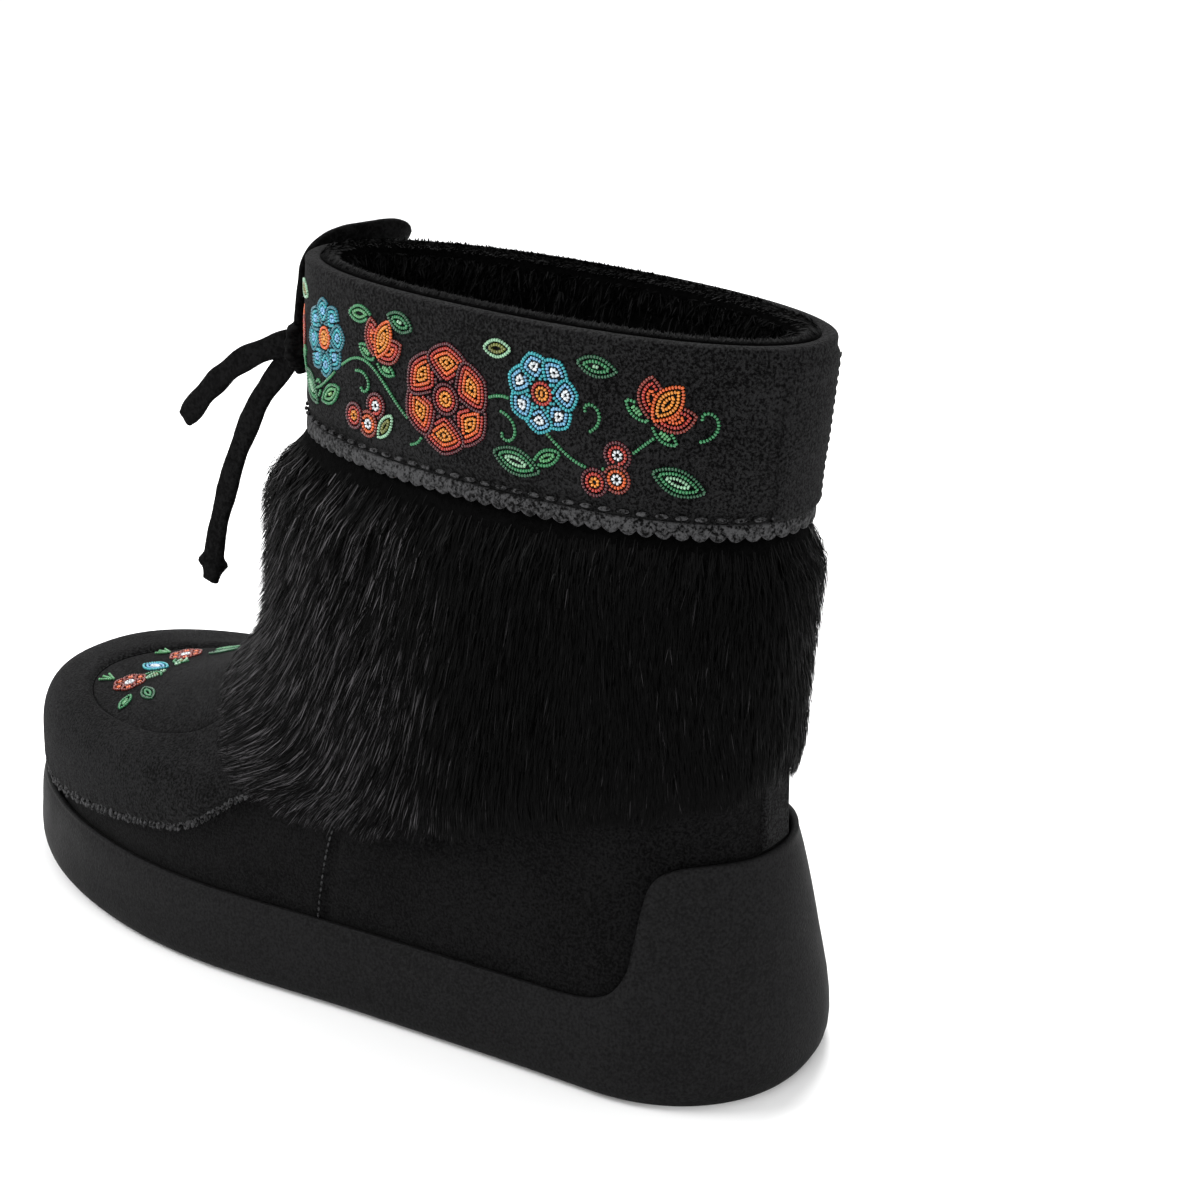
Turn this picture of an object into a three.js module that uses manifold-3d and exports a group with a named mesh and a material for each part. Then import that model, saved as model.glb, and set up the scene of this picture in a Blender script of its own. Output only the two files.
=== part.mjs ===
// A short left winter boot of the mukluk kind: a moulded rubber sole with a heel cup, a hollow
// suede upper, a moccasin toe, a deep fur sleeve, a broad cuff with a scalloped trim and a tie.
// Millimetres, +Z up. The toe points to -Y and the outer side of the foot to +X. The origin is
// on the ground, below the middle of the boot.
import * as THREE from 'three';
import { mergeVertices } from 'three/addons/utils/BufferGeometryUtils.js';
import Module from 'manifold-3d';

const wasm = await Module();
wasm.setup();

// Foot
const soleLength = 278;
const ballWidth = 108;
const toeSpring = 5;
const springStart = -33;
const toeHeight = 56;
// Shaft
const shaftSetback = 55;
const ankleLength = 140;
const ankleWidth = 67;
const cuffBottom = 149;
const collarHeight = 189;
const collarRise = 7;
const collarLength = 146;
const collarWidth = 60;
const heelInset = { ankle: 13, collar: 6 };
const ovalPower = { ankle: 2.3, collar: 2.2 };
const wall = 2.6;
// Sole
const soleLip = 5;
const soleBevel = 3;
const heelCupTop = 62;
const rubberEdge = 2.6;
const cupFloor = 9;
const treadDepth = 3;
const treadOverlap = 1;
const treadRim = 9;
const barWidth = 15;
const barPitch = 26;
const archRise = 1.5;
const insoleThickness = 5;
// Toe: the puckered seam round the toe, the padded roll above it and the oval plug
const seamHeight = 28.5;
const seamSlope = 0.17;
const seamLevelEnd = -105;
const seamRise = { from: -30, height: 11.7 };
const vampBack = -12;
const vampTop = 82;
const rollDepth = 2.8;
const plugLength = 92;
const plugWidth = 60;
const plugMiddle = { x: 5, y: -62 };
const plugThickness = 1.4;
// Fur
const furDepth = 10;
const lockLength = 11;
const lockWidth = 10;
const lockDepth = 2;
const lockSink = 1;
const lockLift = 1;
// Cuff, trim and strips
const cuffThickness = 3;
const rimHeight = 2.2;
const rimTurn = 6;
const trimDrop = 4;
const scallopDepth = 1.6;
const scallops = 48;
const stripWidth = 12;
const cuffStripWidth = 19;
const cuffStripTop = 188;
const heelStripTop = 88;
const stripThickness = 1.2;
// Tie
const knotSize = { x: 11, y: 6.4, z: 15 };
const knotHeight = 0.33;
const thong = { width: 7, thickness: 3.2 };
// Fits
const gap = 0.3;
const meridians = 42;

// Plan of the sole from heel to toe: middle and half width as shares of half the ball width.
const planRows = [
  { along: 0.00, middle: 0.00, half: 0.74 },
  { along: 0.16, middle: 0.01, half: 0.76 },
  { along: 0.40, middle: 0.06, half: 0.81 },
  { along: 0.62, middle: 0.00, half: 0.98 },
  { along: 0.78, middle: -0.04, half: 0.97 },
  { along: 1.00, middle: -0.10, half: 0.92 },
];
const heelRound = { length: 0.15, power: 2.1 };
const toeRound = { length: 0.33, power: 2.3 };

// Rings of the upper from the cup floor to the collar. Heights are shares of the toe height, of
// the rise to the cuff and of the cuff. Toe and heel reach say how much of the way from the
// ankle ring to the foot's edge is left, and flare how much of the way to the collar is done.
const ringRows = [
  { at: 0.00, toe: 0.00, shaft: 0.00, cuff: 0.00, toeReach: 0.985, heelReach: 0.98, flare: 0.00 },
  { at: 0.07, toe: 0.30, shaft: 0.00, cuff: 0.00, toeReach: 1.000, heelReach: 0.92, flare: 0.00 },
  { at: 0.14, toe: 0.57, shaft: 0.00, cuff: 0.00, toeReach: 0.995, heelReach: 0.66, flare: 0.00 },
  { at: 0.21, toe: 0.77, shaft: 0.00, cuff: 0.00, toeReach: 0.975, heelReach: 0.42, flare: 0.00 },
  { at: 0.28, toe: 0.90, shaft: 0.00, cuff: 0.00, toeReach: 0.930, heelReach: 0.28, flare: 0.00 },
  { at: 0.35, toe: 0.97, shaft: 0.00, cuff: 0.00, toeReach: 0.850, heelReach: 0.20, flare: 0.00 },
  { at: 0.42, toe: 1.00, shaft: 0.01, cuff: 0.00, toeReach: 0.700, heelReach: 0.15, flare: 0.00 },
  { at: 0.49, toe: 1.00, shaft: 0.06, cuff: 0.00, toeReach: 0.520, heelReach: 0.10, flare: 0.00 },
  { at: 0.56, toe: 1.00, shaft: 0.16, cuff: 0.00, toeReach: 0.340, heelReach: 0.06, flare: 0.00 },
  { at: 0.63, toe: 1.00, shaft: 0.34, cuff: 0.00, toeReach: 0.170, heelReach: 0.03, flare: 0.00 },
  { at: 0.70, toe: 1.00, shaft: 0.62, cuff: 0.00, toeReach: 0.050, heelReach: 0.01, flare: 0.10 },
  { at: 0.77, toe: 1.00, shaft: 1.00, cuff: 0.00, toeReach: 0.000, heelReach: 0.00, flare: 0.35 },
  { at: 0.88, toe: 1.00, shaft: 1.00, cuff: 0.50, toeReach: 0.000, heelReach: 0.00, flare: 0.67 },
  { at: 1.00, toe: 1.00, shaft: 1.00, cuff: 1.00, toeReach: 0.000, heelReach: 0.00, flare: 1.00 },
];

// Top edge of the sole at places along its outline: low along the foot and climbing to the cup.
const cupRows = [
  { y: 90.0, height: 24.5 },
  { y: 98.5, height: 25.0 },
  { y: 104.0, height: 26.2 },
  { y: 109.0, height: 29.0 },
  { y: 113.0, height: 34.5 },
  { y: 116.5, height: 44.0 },
  { y: 119.0, height: 52.0 },
  { y: 122.0, height: 57.5 },
  { y: 126.0, height: 60.5 },
  { y: 132.0, height: 62.0 },
  { y: 140.0, height: 62.0 },
];

// Side of the sole from the ground to its top edge: how far it leans from the ground outline to
// the outline of the top edge, and how much of the bevel it is tucked in.
const sideRows = [
  { rise: 0.00, lean: 0.00, tuck: 1.00 },
  { rise: 0.14, lean: 0.02, tuck: 0.08 },
  { rise: 0.55, lean: 0.45, tuck: -0.10 },
  { rise: 0.92, lean: 0.92, tuck: 0.00 },
  { rise: 1.00, lean: 1.00, tuck: 0.25 },
];

const mix = (a, b, t) => a + (b - a) * t;
const smooth = THREE.MathUtils.smoothstep;

// A smooth curve through one column of a table.
function column(rows, key, name) {
  const keys = rows.map((row) => row[key]);
  const values = rows.map((row) => row[name]);
  const curve = new THREE.CubicInterpolant(keys, values, 1, new Float64Array(1));
  return (at) => curve.evaluate(at)[0];
}

// How far the forefoot curls up from the ground at a place along the boot.
function spring(y) {
  const t = Math.max(0, (springStart - y) / (springStart + soleLength / 2));
  return toeSpring * t * t;
}

// The sole's outline in plan, moved in by an inset, from the toe round the outer side.
const planSteps = 240;
const planMiddle = column(planRows, 'along', 'middle');
const planHalf = column(planRows, 'along', 'half');

function roundEnd(left, end) {
  const t = Math.max(0, 1 - left / end.length);
  return (1 - t ** end.power) ** (1 / end.power);
}

function planPoint(turn) {
  const along = (1 + Math.cos(turn)) / 2;
  const caps = roundEnd(along, heelRound) * roundEnd(1 - along, toeRound);
  const half = planHalf(along) * caps * Math.sign(Math.sin(turn));
  const x = (planMiddle(along) + half) * ballWidth / 2;
  return new THREE.Vector2(x, soleLength * (0.5 - along));
}

function footPlan(inset) {
  const points = [];
  for (let i = 0; i < planSteps; i += 1) {
    const turn = (i + 0.5) * 2 * Math.PI / planSteps;
    const ahead = planPoint(turn + 0.01).sub(planPoint(turn - 0.01)).normalize();
    const here = planPoint(turn);
    points.push(new THREE.Vector2(here.x - ahead.y * inset, here.y + ahead.x * inset));
  }
  return points;
}

// An oval in plan, shifted along the boot from the shaft's axis.
function ovalPlan(length, width, shift, power) {
  const points = [];
  for (let i = 0; i < planSteps; i += 1) {
    const turn = (i + 0.5) * 2 * Math.PI / planSteps;
    const c = Math.cos(turn);
    const s = Math.sin(turn);
    const x = Math.sign(s) * Math.abs(s) ** (2 / power) * width / 2;
    const y = shift - Math.sign(c) * Math.abs(c) ** (2 / power) * length / 2;
    points.push(new THREE.Vector2(x, shaftSetback + y));
  }
  return points;
}

// The radius of a plan curve in each direction from the shaft's axis; 0 looks at the toe.
function radiusOf(points) {
  const polar = points.map((p) => ({
    turn: Math.atan2(p.x, shaftSetback - p.y),
    radius: Math.hypot(p.x, p.y - shaftSetback),
  }));
  polar.sort((a, b) => a.turn - b.turn);
  const first = polar[0];
  const last = polar[polar.length - 1];
  polar.unshift({ turn: last.turn - 2 * Math.PI, radius: last.radius });
  polar.push({ turn: first.turn + 2 * Math.PI, radius: first.radius });
  return (turn) => {
    const next = Math.max(1, polar.findIndex((p) => p.turn >= turn));
    const a = polar[next - 1];
    const b = polar[next];
    return mix(a.radius, b.radius, (turn - a.turn) / (b.turn - a.turn));
  };
}

const heelBack = soleLength / 2 - shaftSetback;
const ankleShift = heelBack - heelInset.ankle - ankleLength / 2;
const collarShift = heelBack - heelInset.collar - collarLength / 2;
const soleRadius = radiusOf(footPlan(0));
const footRadius = radiusOf(footPlan(soleLip));
const ankleRadius = radiusOf(ovalPlan(ankleLength, ankleWidth, ankleShift, ovalPower.ankle));
const collarRadius = radiusOf(ovalPlan(collarLength, collarWidth, collarShift, ovalPower.collar));

// Directions of the meridians, spaced evenly along the sum of the sole's and the collar's rims,
// and closer together where the heel cup climbs.
function spacedTurns(count) {
  const steps = 720;
  const total = [0];
  const turnAt = (i) => (i / steps * 2 - 1) * Math.PI;
  for (let i = 0; i < steps; i += 1) {
    const a = turnAt(i);
    const b = turnAt(i + 1);
    const rims = [soleRadius, collarRadius].map((radius) => Math.hypot(
      radius(b) * Math.sin(b) - radius(a) * Math.sin(a),
      radius(b) * Math.cos(b) - radius(a) * Math.cos(a),
    ));
    const climbing = 1.6 * Math.exp(-(((Math.abs(a) - 2.6) / 0.2) ** 2));
    total.push(total[i] + (rims[0] + rims[1]) * (1 + climbing));
  }
  const turns = [];
  for (let i = 0; i < count; i += 1) {
    const wanted = total[steps] * (i + 0.5) / count;
    const next = total.findIndex((t) => t >= wanted);
    const part = (wanted - total[next - 1]) / (total[next] - total[next - 1]);
    turns.push(mix(turnAt(next - 1), turnAt(next), part));
  }
  return turns;
}

const placesOf = (turns) => turns.map((turn) => ({
  turn,
  sole: soleRadius(turn),
  foot: footRadius(turn),
  ankle: ankleRadius(turn),
  collar: collarRadius(turn),
}));
const known = placesOf(spacedTurns(meridians));

const toeShare = column(ringRows, 'at', 'toe');
const shaftShare = column(ringRows, 'at', 'shaft');
const cuffShare = column(ringRows, 'at', 'cuff');
const toeReach = column(ringRows, 'at', 'toeReach');
const heelReach = column(ringRows, 'at', 'heelReach');
const flare = column(ringRows, 'at', 'flare');

function heightAt(at) {
  const foot = toeShare(at) * (toeHeight - cupFloor - gap);
  const shaft = shaftShare(at) * (cuffBottom - toeHeight);
  return cupFloor + gap + foot + shaft + cuffShare(at) * (collarHeight - cuffBottom);
}

function stationAt(height) {
  let low = 0;
  let high = 1;
  for (let i = 0; i < 40; i += 1) {
    const middle = (low + high) / 2;
    if (heightAt(middle) < height) low = middle;
    else high = middle;
  }
  return (low + high) / 2;
}

// A point of the upper's outer face.
function radiusAt(place, at) {
  const front = (1 + Math.cos(place.turn)) / 2;
  const reach = mix(heelReach(at), toeReach(at), front);
  return mix(place.ankle + reach * (place.foot - place.ankle), place.collar, flare(at));
}

function polarPoint(turn, radius, height) {
  const y = shaftSetback - radius * Math.cos(turn);
  return new THREE.Vector3(radius * Math.sin(turn), y, height + spring(y));
}

function facePoint(place, at) {
  const point = polarPoint(place.turn, radiusAt(place, at), heightAt(at));
  const forward = (heelBack + shaftSetback - point.y) / collarLength;
  point.z += collarRise * shaftShare(at) * forward;
  return point;
}

// A ring of the outer face moved out along its normals; at and out may differ by meridian.
const valueOf = (value, place, i) => (typeof value === 'function' ? value(place, i) : value);

function ring(at, out, places = known) {
  return places.map((place, i) => {
    const here = valueOf(at, place, i);
    const next = places[(i + 1) % places.length];
    const last = places[(i + places.length - 1) % places.length];
    const up = facePoint(place, Math.min(1, here + 0.01)).sub(facePoint(place, Math.max(0, here - 0.01)));
    const round = facePoint(next, here).sub(facePoint(last, here));
    const normal = round.cross(up).normalize();
    if (here <= 0 || here >= 1) normal.setZ(0).normalize();
    return facePoint(place, here).addScaledVector(normal, valueOf(out, place, i));
  });
}

// Rings joined into a closed body. The last ring joins the first one, or both ends are capped.
function bodyOf(rings, capped) {
  const count = rings[0].length;
  const positions = rings.flat().flatMap((p) => [p.x, p.y, p.z]);
  const faces = [];
  const bands = capped ? rings.length - 1 : rings.length;
  for (let r = 0; r < bands; r += 1) {
    const lower = r * count;
    const upper = ((r + 1) % rings.length) * count;
    for (let i = 0; i < count; i += 1) {
      const j = (i + 1) % count;
      faces.push(lower + i, lower + j, upper + j, lower + i, upper + j, upper + i);
    }
  }
  if (capped) {
    const ends = [rings[0], rings[rings.length - 1]];
    ends.forEach((end, side) => {
      const middle = end.reduce((sum, p) => sum.add(p), new THREE.Vector3()).divideScalar(count);
      const centre = positions.push(middle.x, middle.y, middle.z) / 3 - 1;
      const base = side * (rings.length - 1) * count;
      for (let i = 0; i < count; i += 1) {
        const j = (i + 1) % count;
        if (side) faces.push(centre, base + i, base + j);
        else faces.push(centre, base + j, base + i);
      }
    });
  }
  const solid = new wasm.Manifold(new wasm.Mesh({
    numProp: 3,
    vertProperties: new Float32Array(positions),
    triVerts: new Uint32Array(faces),
  }));
  if (solid.volume() > 0) return solid;
  const flipped = faces.map((v, i) => faces[i - (i % 3) + 2 - (i % 3)]);
  return new wasm.Manifold(new wasm.Mesh({
    numProp: 3,
    vertProperties: new Float32Array(positions),
    triVerts: new Uint32Array(flipped),
  }));
}

// Rings that shrink a ring towards the shaft's axis, each share keeping the toe's curl.
const discShares = [1, 0.62, 0.24];

function disc(points, height, shares = discShares) {
  return shares.map((share) => points.map((point) => {
    const y = mix(shaftSetback, point.y, share);
    return new THREE.Vector3(point.x * share, y, height + spring(y));
  }));
}

// A ring moved in or out in plan, square to its own outline.
function grown(points, out) {
  return points.map((point, i) => {
    const next = points[(i + 1) % points.length];
    const last = points[(i + points.length - 1) % points.length];
    const ahead = new THREE.Vector2(next.x - last.x, next.y - last.y).normalize();
    const distance = valueOf(out, known[i], i);
    const moved = point.clone();
    moved.x += ahead.y * distance;
    moved.y -= ahead.x * distance;
    moved.z += spring(moved.y) - spring(point.y);
    return moved;
  });
}

const stations = ringRows.map((row) => row.at);

// The room that the upper takes, grown by a distance that may follow the station, and filled.
function filledForm(out) {
  const outAt = (at) => (typeof out === 'function' ? out(at) : out);
  const sides = stations.map((at) => ring(at, outAt(at)));
  const bottom = disc(sides[0], cupFloor + gap - Math.max(0, outAt(0)));
  return bodyOf([...bottom.reverse(), ...sides.slice(1)], true);
}

const raised = (points, rise) => points.map((p) => p.clone().setZ(p.z + rise));

// The upper's wall, grown on all sides but the lower edge: open at the collar and underneath.
function wallForm(out) {
  const side = (distance) => {
    const rings = stations.map((at) => ring(at, distance));
    return [...rings.slice(0, -1), raised(rings[rings.length - 1], out)];
  };
  return bodyOf([...side(out), ...side(-wall - out).reverse()], false);
}

// A slab that curls with the toe, wider than the boot, between two heights.
function slab(low, high) {
  const edge = grown(ring(0, 0), 2 * soleLip);
  return bodyOf([...disc(edge, low).reverse(), ...disc(edge, high)], true);
}

// Insole: a footbed that lies in the upper on the cup's floor.
function insole() {
  const top = cupFloor + gap + insoleThickness;
  return filledForm(-wall - gap).intersect(slab(0, top));
}

const cupHeight = column(cupRows, 'y', 'height');
const soleEdge = (place) => cupHeight(shaftSetback - place.sole * Math.cos(place.turn));

function arched(points) {
  return points.map((point) => {
    const rising = smooth(point.y, -0.1 * soleLength, 0.08 * soleLength);
    const falling = smooth(point.y, 0.12 * soleLength, 0.27 * soleLength);
    const inner = smooth(-point.x, -ballWidth / 4, ballWidth / 2);
    return point.clone().setZ(point.z + archRise * rising * (1 - falling) * inner);
  });
}

function solidOf(geometry) {
  geometry.deleteAttribute('normal');
  geometry.deleteAttribute('uv');
  const merged = mergeVertices(geometry);
  return new wasm.Manifold(new wasm.Mesh({
    numProp: 3,
    vertProperties: new Float32Array(merged.attributes.position.array),
    triVerts: new Uint32Array(merged.index.array),
  }));
}

// Tread bars across the sole, inside its rim, that follow the toe's curl and the arch.
function treadBars(rim) {
  const edge = grown(rim, 1);
  const lift = (points, height) => points.map((p) => p.clone().setZ(height));
  const inside = bodyOf([lift(edge, -treadDepth), lift(edge, cupFloor)], true);
  const count = Math.floor(soleLength / 2 / barPitch);
  const barHeight = treadDepth + treadOverlap;
  let bars = null;
  for (let k = -count; k <= count; k += 1) {
    const box = new THREE.BoxGeometry(ballWidth, barWidth, barHeight, 2, 1, 1);
    box.translate(0, k * barPitch, barHeight / 2);
    const place = box.attributes.position;
    const points = [];
    for (let v = 0; v < place.count; v += 1) points.push(new THREE.Vector3().fromBufferAttribute(place, v));
    points.forEach((point) => point.setZ(point.z + spring(point.y)));
    arched(points).forEach((point, v) => place.setZ(v, point.z));
    bars = bars ? bars.add(solidOf(box)) : solidOf(box);
  }
  return bars.intersect(inside);
}

// Outsole: side wall and heel cup round the upper, a rim and bars below, and the cup's floor.
function outsole() {
  const ground = known.map((place) => polarPoint(place.turn, place.sole, 0));
  const topAt = (place) => stationAt(soleEdge(place));
  const edge = ring(topAt, gap + rubberEdge);
  const sides = sideRows.map((row) => {
    const leaned = ground.map((point, i) => {
      const height = soleEdge(known[i]) * row.rise;
      const moved = point.clone().lerp(edge[i], row.lean);
      return moved.setZ(height + spring(moved.y));
    });
    return grown(leaned, -row.tuck * soleBevel);
  });
  const inner = ring(topAt, -wall);
  const rim = grown(ground, -soleBevel - treadRim);
  const plate = disc(grown(rim, -1), treadDepth);
  const under = [...plate.reverse(), rim, sides[0]].map(arched);
  const block = bodyOf([...under, ...sides.slice(1), inner], true);
  return block.add(treadBars(rim)).subtract(filledForm(gap));
}

// Toe roll: how far it stands out from the upper at each station above its seam.
const rollRows = [
  { at: 0.00, stand: 0.45 },
  { at: 0.10, stand: 0.70 },
  { at: 0.21, stand: 1.00 },
  { at: 0.35, stand: 0.90 },
  { at: 0.49, stand: 0.70 },
  { at: 1.00, stand: 0.50 },
];
const rollStand = column(rollRows, 'at', 'stand');
const rollOut = (at) => gap + rollDepth * rollStand(at);

// Everything in front of the vamp's back edge and above its seam, which bends up at its ends.
function toeRegion(out = 0) {
  const front = -soleLength / 2 - soleLip;
  const steps = 15;
  const edge = [];
  for (let i = 0; i <= steps; i += 1) {
    const y = mix(front, vampBack, i / steps);
    const climbed = seamSlope * Math.max(0, y - seamLevelEnd);
    const bent = Math.max(0, (y - seamRise.from) / (vampBack - seamRise.from)) ** 2;
    const height = seamHeight + climbed + seamRise.height * bent;
    edge.push(new THREE.Vector2(y + out, height + spring(y) - out));
  }
  const shape = new THREE.Shape(edge);
  shape.lineTo(vampBack + out, vampTop + out);
  shape.lineTo(front, vampTop + out);
  const prism = new THREE.ExtrudeGeometry(shape, { depth: 2 * ballWidth, bevelEnabled: false });
  prism.translate(0, 0, -ballWidth);
  prism.applyMatrix4(new THREE.Matrix4().set(0, 0, 1, 0, 1, 0, 0, 0, 0, 1, 0, 0, 0, 0, 0, 1));
  return solidOf(prism);
}

// The plug's oval as a tall prism, grown in plan.
function plugPrism(out) {
  const oval = (height) => known.map((place, i) => {
    const turn = i / known.length * 2 * Math.PI;
    const x = plugMiddle.x + Math.sin(turn) * (plugWidth / 2 + out);
    const y = plugMiddle.y - Math.cos(turn) * (plugLength / 2 + out);
    return new THREE.Vector3(x, y, height);
  });
  return bodyOf([oval(seamHeight + rollDepth), oval(2 * cuffBottom)], true);
}

function vamp() {
  const skin = filledForm(rollOut).subtract(filledForm(gap));
  return skin.intersect(toeRegion()).subtract(plugPrism(gap));
}

function vampPlug() {
  const skin = filledForm(plugThickness + gap).subtract(filledForm(gap));
  return skin.intersect(toeRegion()).intersect(plugPrism(0));
}

// A block across the middle of the back between two heights.
function backBlock(width, low, high) {
  const box = new THREE.BoxGeometry(width, soleLength / 2, high - low);
  box.translate(0, soleLength / 2, (low + high) / 2);
  return solidOf(box);
}

// A strip down the middle of the back, on a face grown by a distance.
function backStrip(out, width, low, high) {
  const skin = filledForm(out + stripThickness).subtract(filledForm(out + gap));
  return skin.intersect(backBlock(width, low, high));
}

// Fur sleeve from its hem to the trim. Depths are shares of the full depth of the fur at the
// front and sides and at the back.
const furRows = [
  { up: 0.00, depth: 0.55, back: 0.30 },
  { up: 0.15, depth: 0.95, back: 0.42 },
  { up: 0.60, depth: 1.00, back: 0.62 },
  { up: 0.92, depth: 0.85, back: 0.66 },
  { up: 1.00, depth: 0.22, back: 0.22 },
];
const hemRows = [
  { turn: 0.00, at: 0.555 },
  { turn: 0.20, at: 0.545 },
  { turn: 0.34, at: 0.500 },
  { turn: 0.55, at: 0.335 },
  { turn: 0.70, at: 0.295 },
  { turn: 0.90, at: 0.290 },
  { turn: 1.15, at: 0.350 },
  { turn: 1.60, at: 0.450 },
  { turn: 2.30, at: 0.535 },
  { turn: 3.20, at: 0.600 },
];
const hemCurve = column(hemRows, 'turn', 'at');
const hemJag = 0.022;
const hemAt = (place) => hemCurve(Math.abs(place.turn)) + hemJag * (known.indexOf(place) % 2);
const furTop = stationAt(cuffBottom - trimDrop - gap);
const furDepthAt = column(furRows, 'up', 'depth');
const furBackAt = column(furRows, 'up', 'back');

function furOut(place, up) {
  const back = smooth(-Math.cos(place.turn), 0.1, 0.95);
  return furDepth * mix(furDepthAt(up), furBackAt(up), back);
}

function furPoint(i, up, out) {
  const place = known[((i % known.length) + known.length) % known.length];
  const at = mix(hemAt(place), furTop, up);
  return ring(at, out)[known.indexOf(place)];
}

// A tapered lock that lies down the fur with its tip standing off.
function furLock(i, up) {
  const root = furPoint(i, up, furOut(known[i], up) - lockSink);
  const side = furPoint(i + 1, up, 0).sub(furPoint(i - 1, up, 0)).normalize();
  const down = furPoint(i, Math.max(0, up - 0.15), 0).sub(furPoint(i, up, 0)).normalize();
  const out = new THREE.Vector3().crossVectors(down, side).normalize();
  if (out.dot(root.clone().setZ(0).sub(new THREE.Vector3(0, shaftSetback, 0))) < 0) out.negate();
  const tip = root.clone().addScaledVector(down, lockLength).addScaledVector(out, lockLift);
  const corner = (s, o) => root.clone().addScaledVector(side, s).addScaledVector(out, o);
  const base = [corner(lockWidth / 2, 0), corner(0, lockDepth), corner(-lockWidth / 2, 0), corner(0, -lockDepth)];
  const points = [...base, tip].flatMap((p) => [p.x, p.y, p.z]);
  const faces = [0, 1, 4, 1, 2, 4, 2, 3, 4, 3, 0, 4, 1, 0, 2, 3, 2, 0];
  const solid = new wasm.Manifold(new wasm.Mesh({
    numProp: 3,
    vertProperties: new Float32Array(points),
    triVerts: new Uint32Array(faces),
  }));
  return solid.volume() > 0 ? solid : new wasm.Manifold(new wasm.Mesh({
    numProp: 3,
    vertProperties: new Float32Array(points),
    triVerts: new Uint32Array(faces.map((v, k) => faces[k - (k % 3) + 2 - (k % 3)])),
  }));
}

function furBand() {
  const atOf = (up) => (place) => mix(hemAt(place), furTop, up);
  const outer = furRows.map((row) => ring(atOf(row.up), (place) => furOut(place, row.up)));
  const inner = [1, 0.5, 0].map((up) => ring(atOf(up), -wall / 2));
  let fur = bodyOf([...outer, ...inner], false);
  const lockUps = [0.33, 0.66];
  lockUps.forEach((up, row) => {
    for (let i = 2 * row; i < known.length; i += 4) fur = fur.add(furLock(i, up));
  });
  const overVamp = filledForm((at) => rollOut(at) + gap).intersect(toeRegion(gap));
  const overStrip = backBlock(stripWidth + 2 * gap, 0, heelStripTop + gap);
  const overHeel = filledForm(stripThickness + gap).intersect(overStrip);
  return fur.subtract(filledForm(gap)).subtract(overVamp).subtract(overHeel);
}

// Cuff: a band round the shaft that rolls over the collar's edge.
const cuffStations = stations.filter((at) => cuffShare(at) > 0 || shaftShare(at) === 1);

function cuff() {
  const turned = stationAt(collarHeight - rimTurn);
  const inside = -wall - cuffThickness * 0.8;
  const edge = (out, rise) => raised(ring(1, out), rise);
  return bodyOf([
    ...cuffStations.map((at) => ring(at, gap)),
    edge(gap, gap),
    edge(-wall - gap, gap),
    ring(turned, -wall - 2 * gap),
    ring(turned, inside),
    ring(1, inside),
    edge(inside * 0.9, rimHeight * 0.75),
    edge(-wall / 2, rimHeight),
    edge(cuffThickness * 0.75, rimHeight * 0.75),
    ...cuffStations.map((at) => ring(at, cuffThickness)).reverse(),
  ], false);
}

// Trim: a strip below the cuff whose lower edge is scalloped.
function cuffTrim() {
  const places = placesOf(spacedTurns(2 * scallops));
  const high = stationAt(cuffBottom - gap);
  const low = (place, i) => stationAt(cuffBottom - trimDrop + (i % 2) * scallopDepth);
  const outer = cuffThickness * 0.8;
  return bodyOf([
    ring(low, 2 * gap, places),
    ring(low, outer, places),
    ring(high, outer, places),
    ring(high, 2 * gap, places),
  ], false);
}

// The tie sits on the front of the cuff. Points are offsets from the middle of the knot.
const knotPlace = () => {
  const front = ring(mix(stationAt(cuffBottom), 1, knotHeight), cuffThickness + gap)
    .reduce((a, b) => (b.y < a.y ? b : a));
  return new THREE.Vector3(knotSize.x * 0.7, front.y - knotSize.y / 2, front.z);
};

function tieKnot() {
  const ball = new THREE.SphereGeometry(0.5, 12, 7);
  ball.scale(knotSize.x, knotSize.y, knotSize.z);
  const place = knotPlace();
  ball.translate(place.x, place.y, place.z);
  return solidOf(ball);
}

function tieThong(points, steps) {
  const place = knotPlace();
  const path = new THREE.CatmullRomCurve3(points.map((p) => new THREE.Vector3(...p).add(place)));
  const section = new THREE.Shape();
  section.absellipse(0, 0, thong.thickness / 2, thong.width / 2, 0, 2 * Math.PI);
  const flat = new THREE.Shape(section.getPoints(8).slice(0, 8));
  const tube = new THREE.ExtrudeGeometry(flat, { extrudePath: path, steps, bevelEnabled: false });
  return solidOf(tube);
}

const loopPoints = [
  [-1.0, 0.5, 8.5], [-2.5, 1.0, 16.0], [-4.0, 1.5, 22.5], [-9.0, 3.0, 26.5], [-17.0, 6.0, 28.0],
  [-27.5, 9.5, 28.5], [-33.0, 8.5, 25.5], [-29.0, 3.0, 21.5], [-18.0, -3.0, 16.5], [-7.0, -4.0, 8.0],
];
const broadPoints = [[3.0, -5.0, 0.5], [4.5, -17.0, -5.0], [5.0, -30.0, -14.5], [5.0, -41.0, -25.0]];
const thinPoints = [
  [2.0, -4.5, -4.0], [3.0, -14.0, -17.0], [4.0, -24.0, -36.0], [4.8, -31.0, -55.0], [5.5, -35.0, -72.0],
];

function meshOf(name, solid, look) {
  const data = solid.getMesh();
  const geometry = new THREE.BufferGeometry();
  const stride = data.numProp;
  const points = [];
  for (let v = 0; v < data.numVert; v += 1) {
    points.push(...data.vertProperties.slice(v * stride, v * stride + 3));
  }
  geometry.setAttribute('position', new THREE.Float32BufferAttribute(points, 3));
  geometry.setIndex([...data.triVerts]);
  const mesh = new THREE.Mesh(mergeVertices(geometry, 1e-4), new THREE.MeshStandardMaterial(look));
  mesh.name = name;
  return mesh;
}

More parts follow.
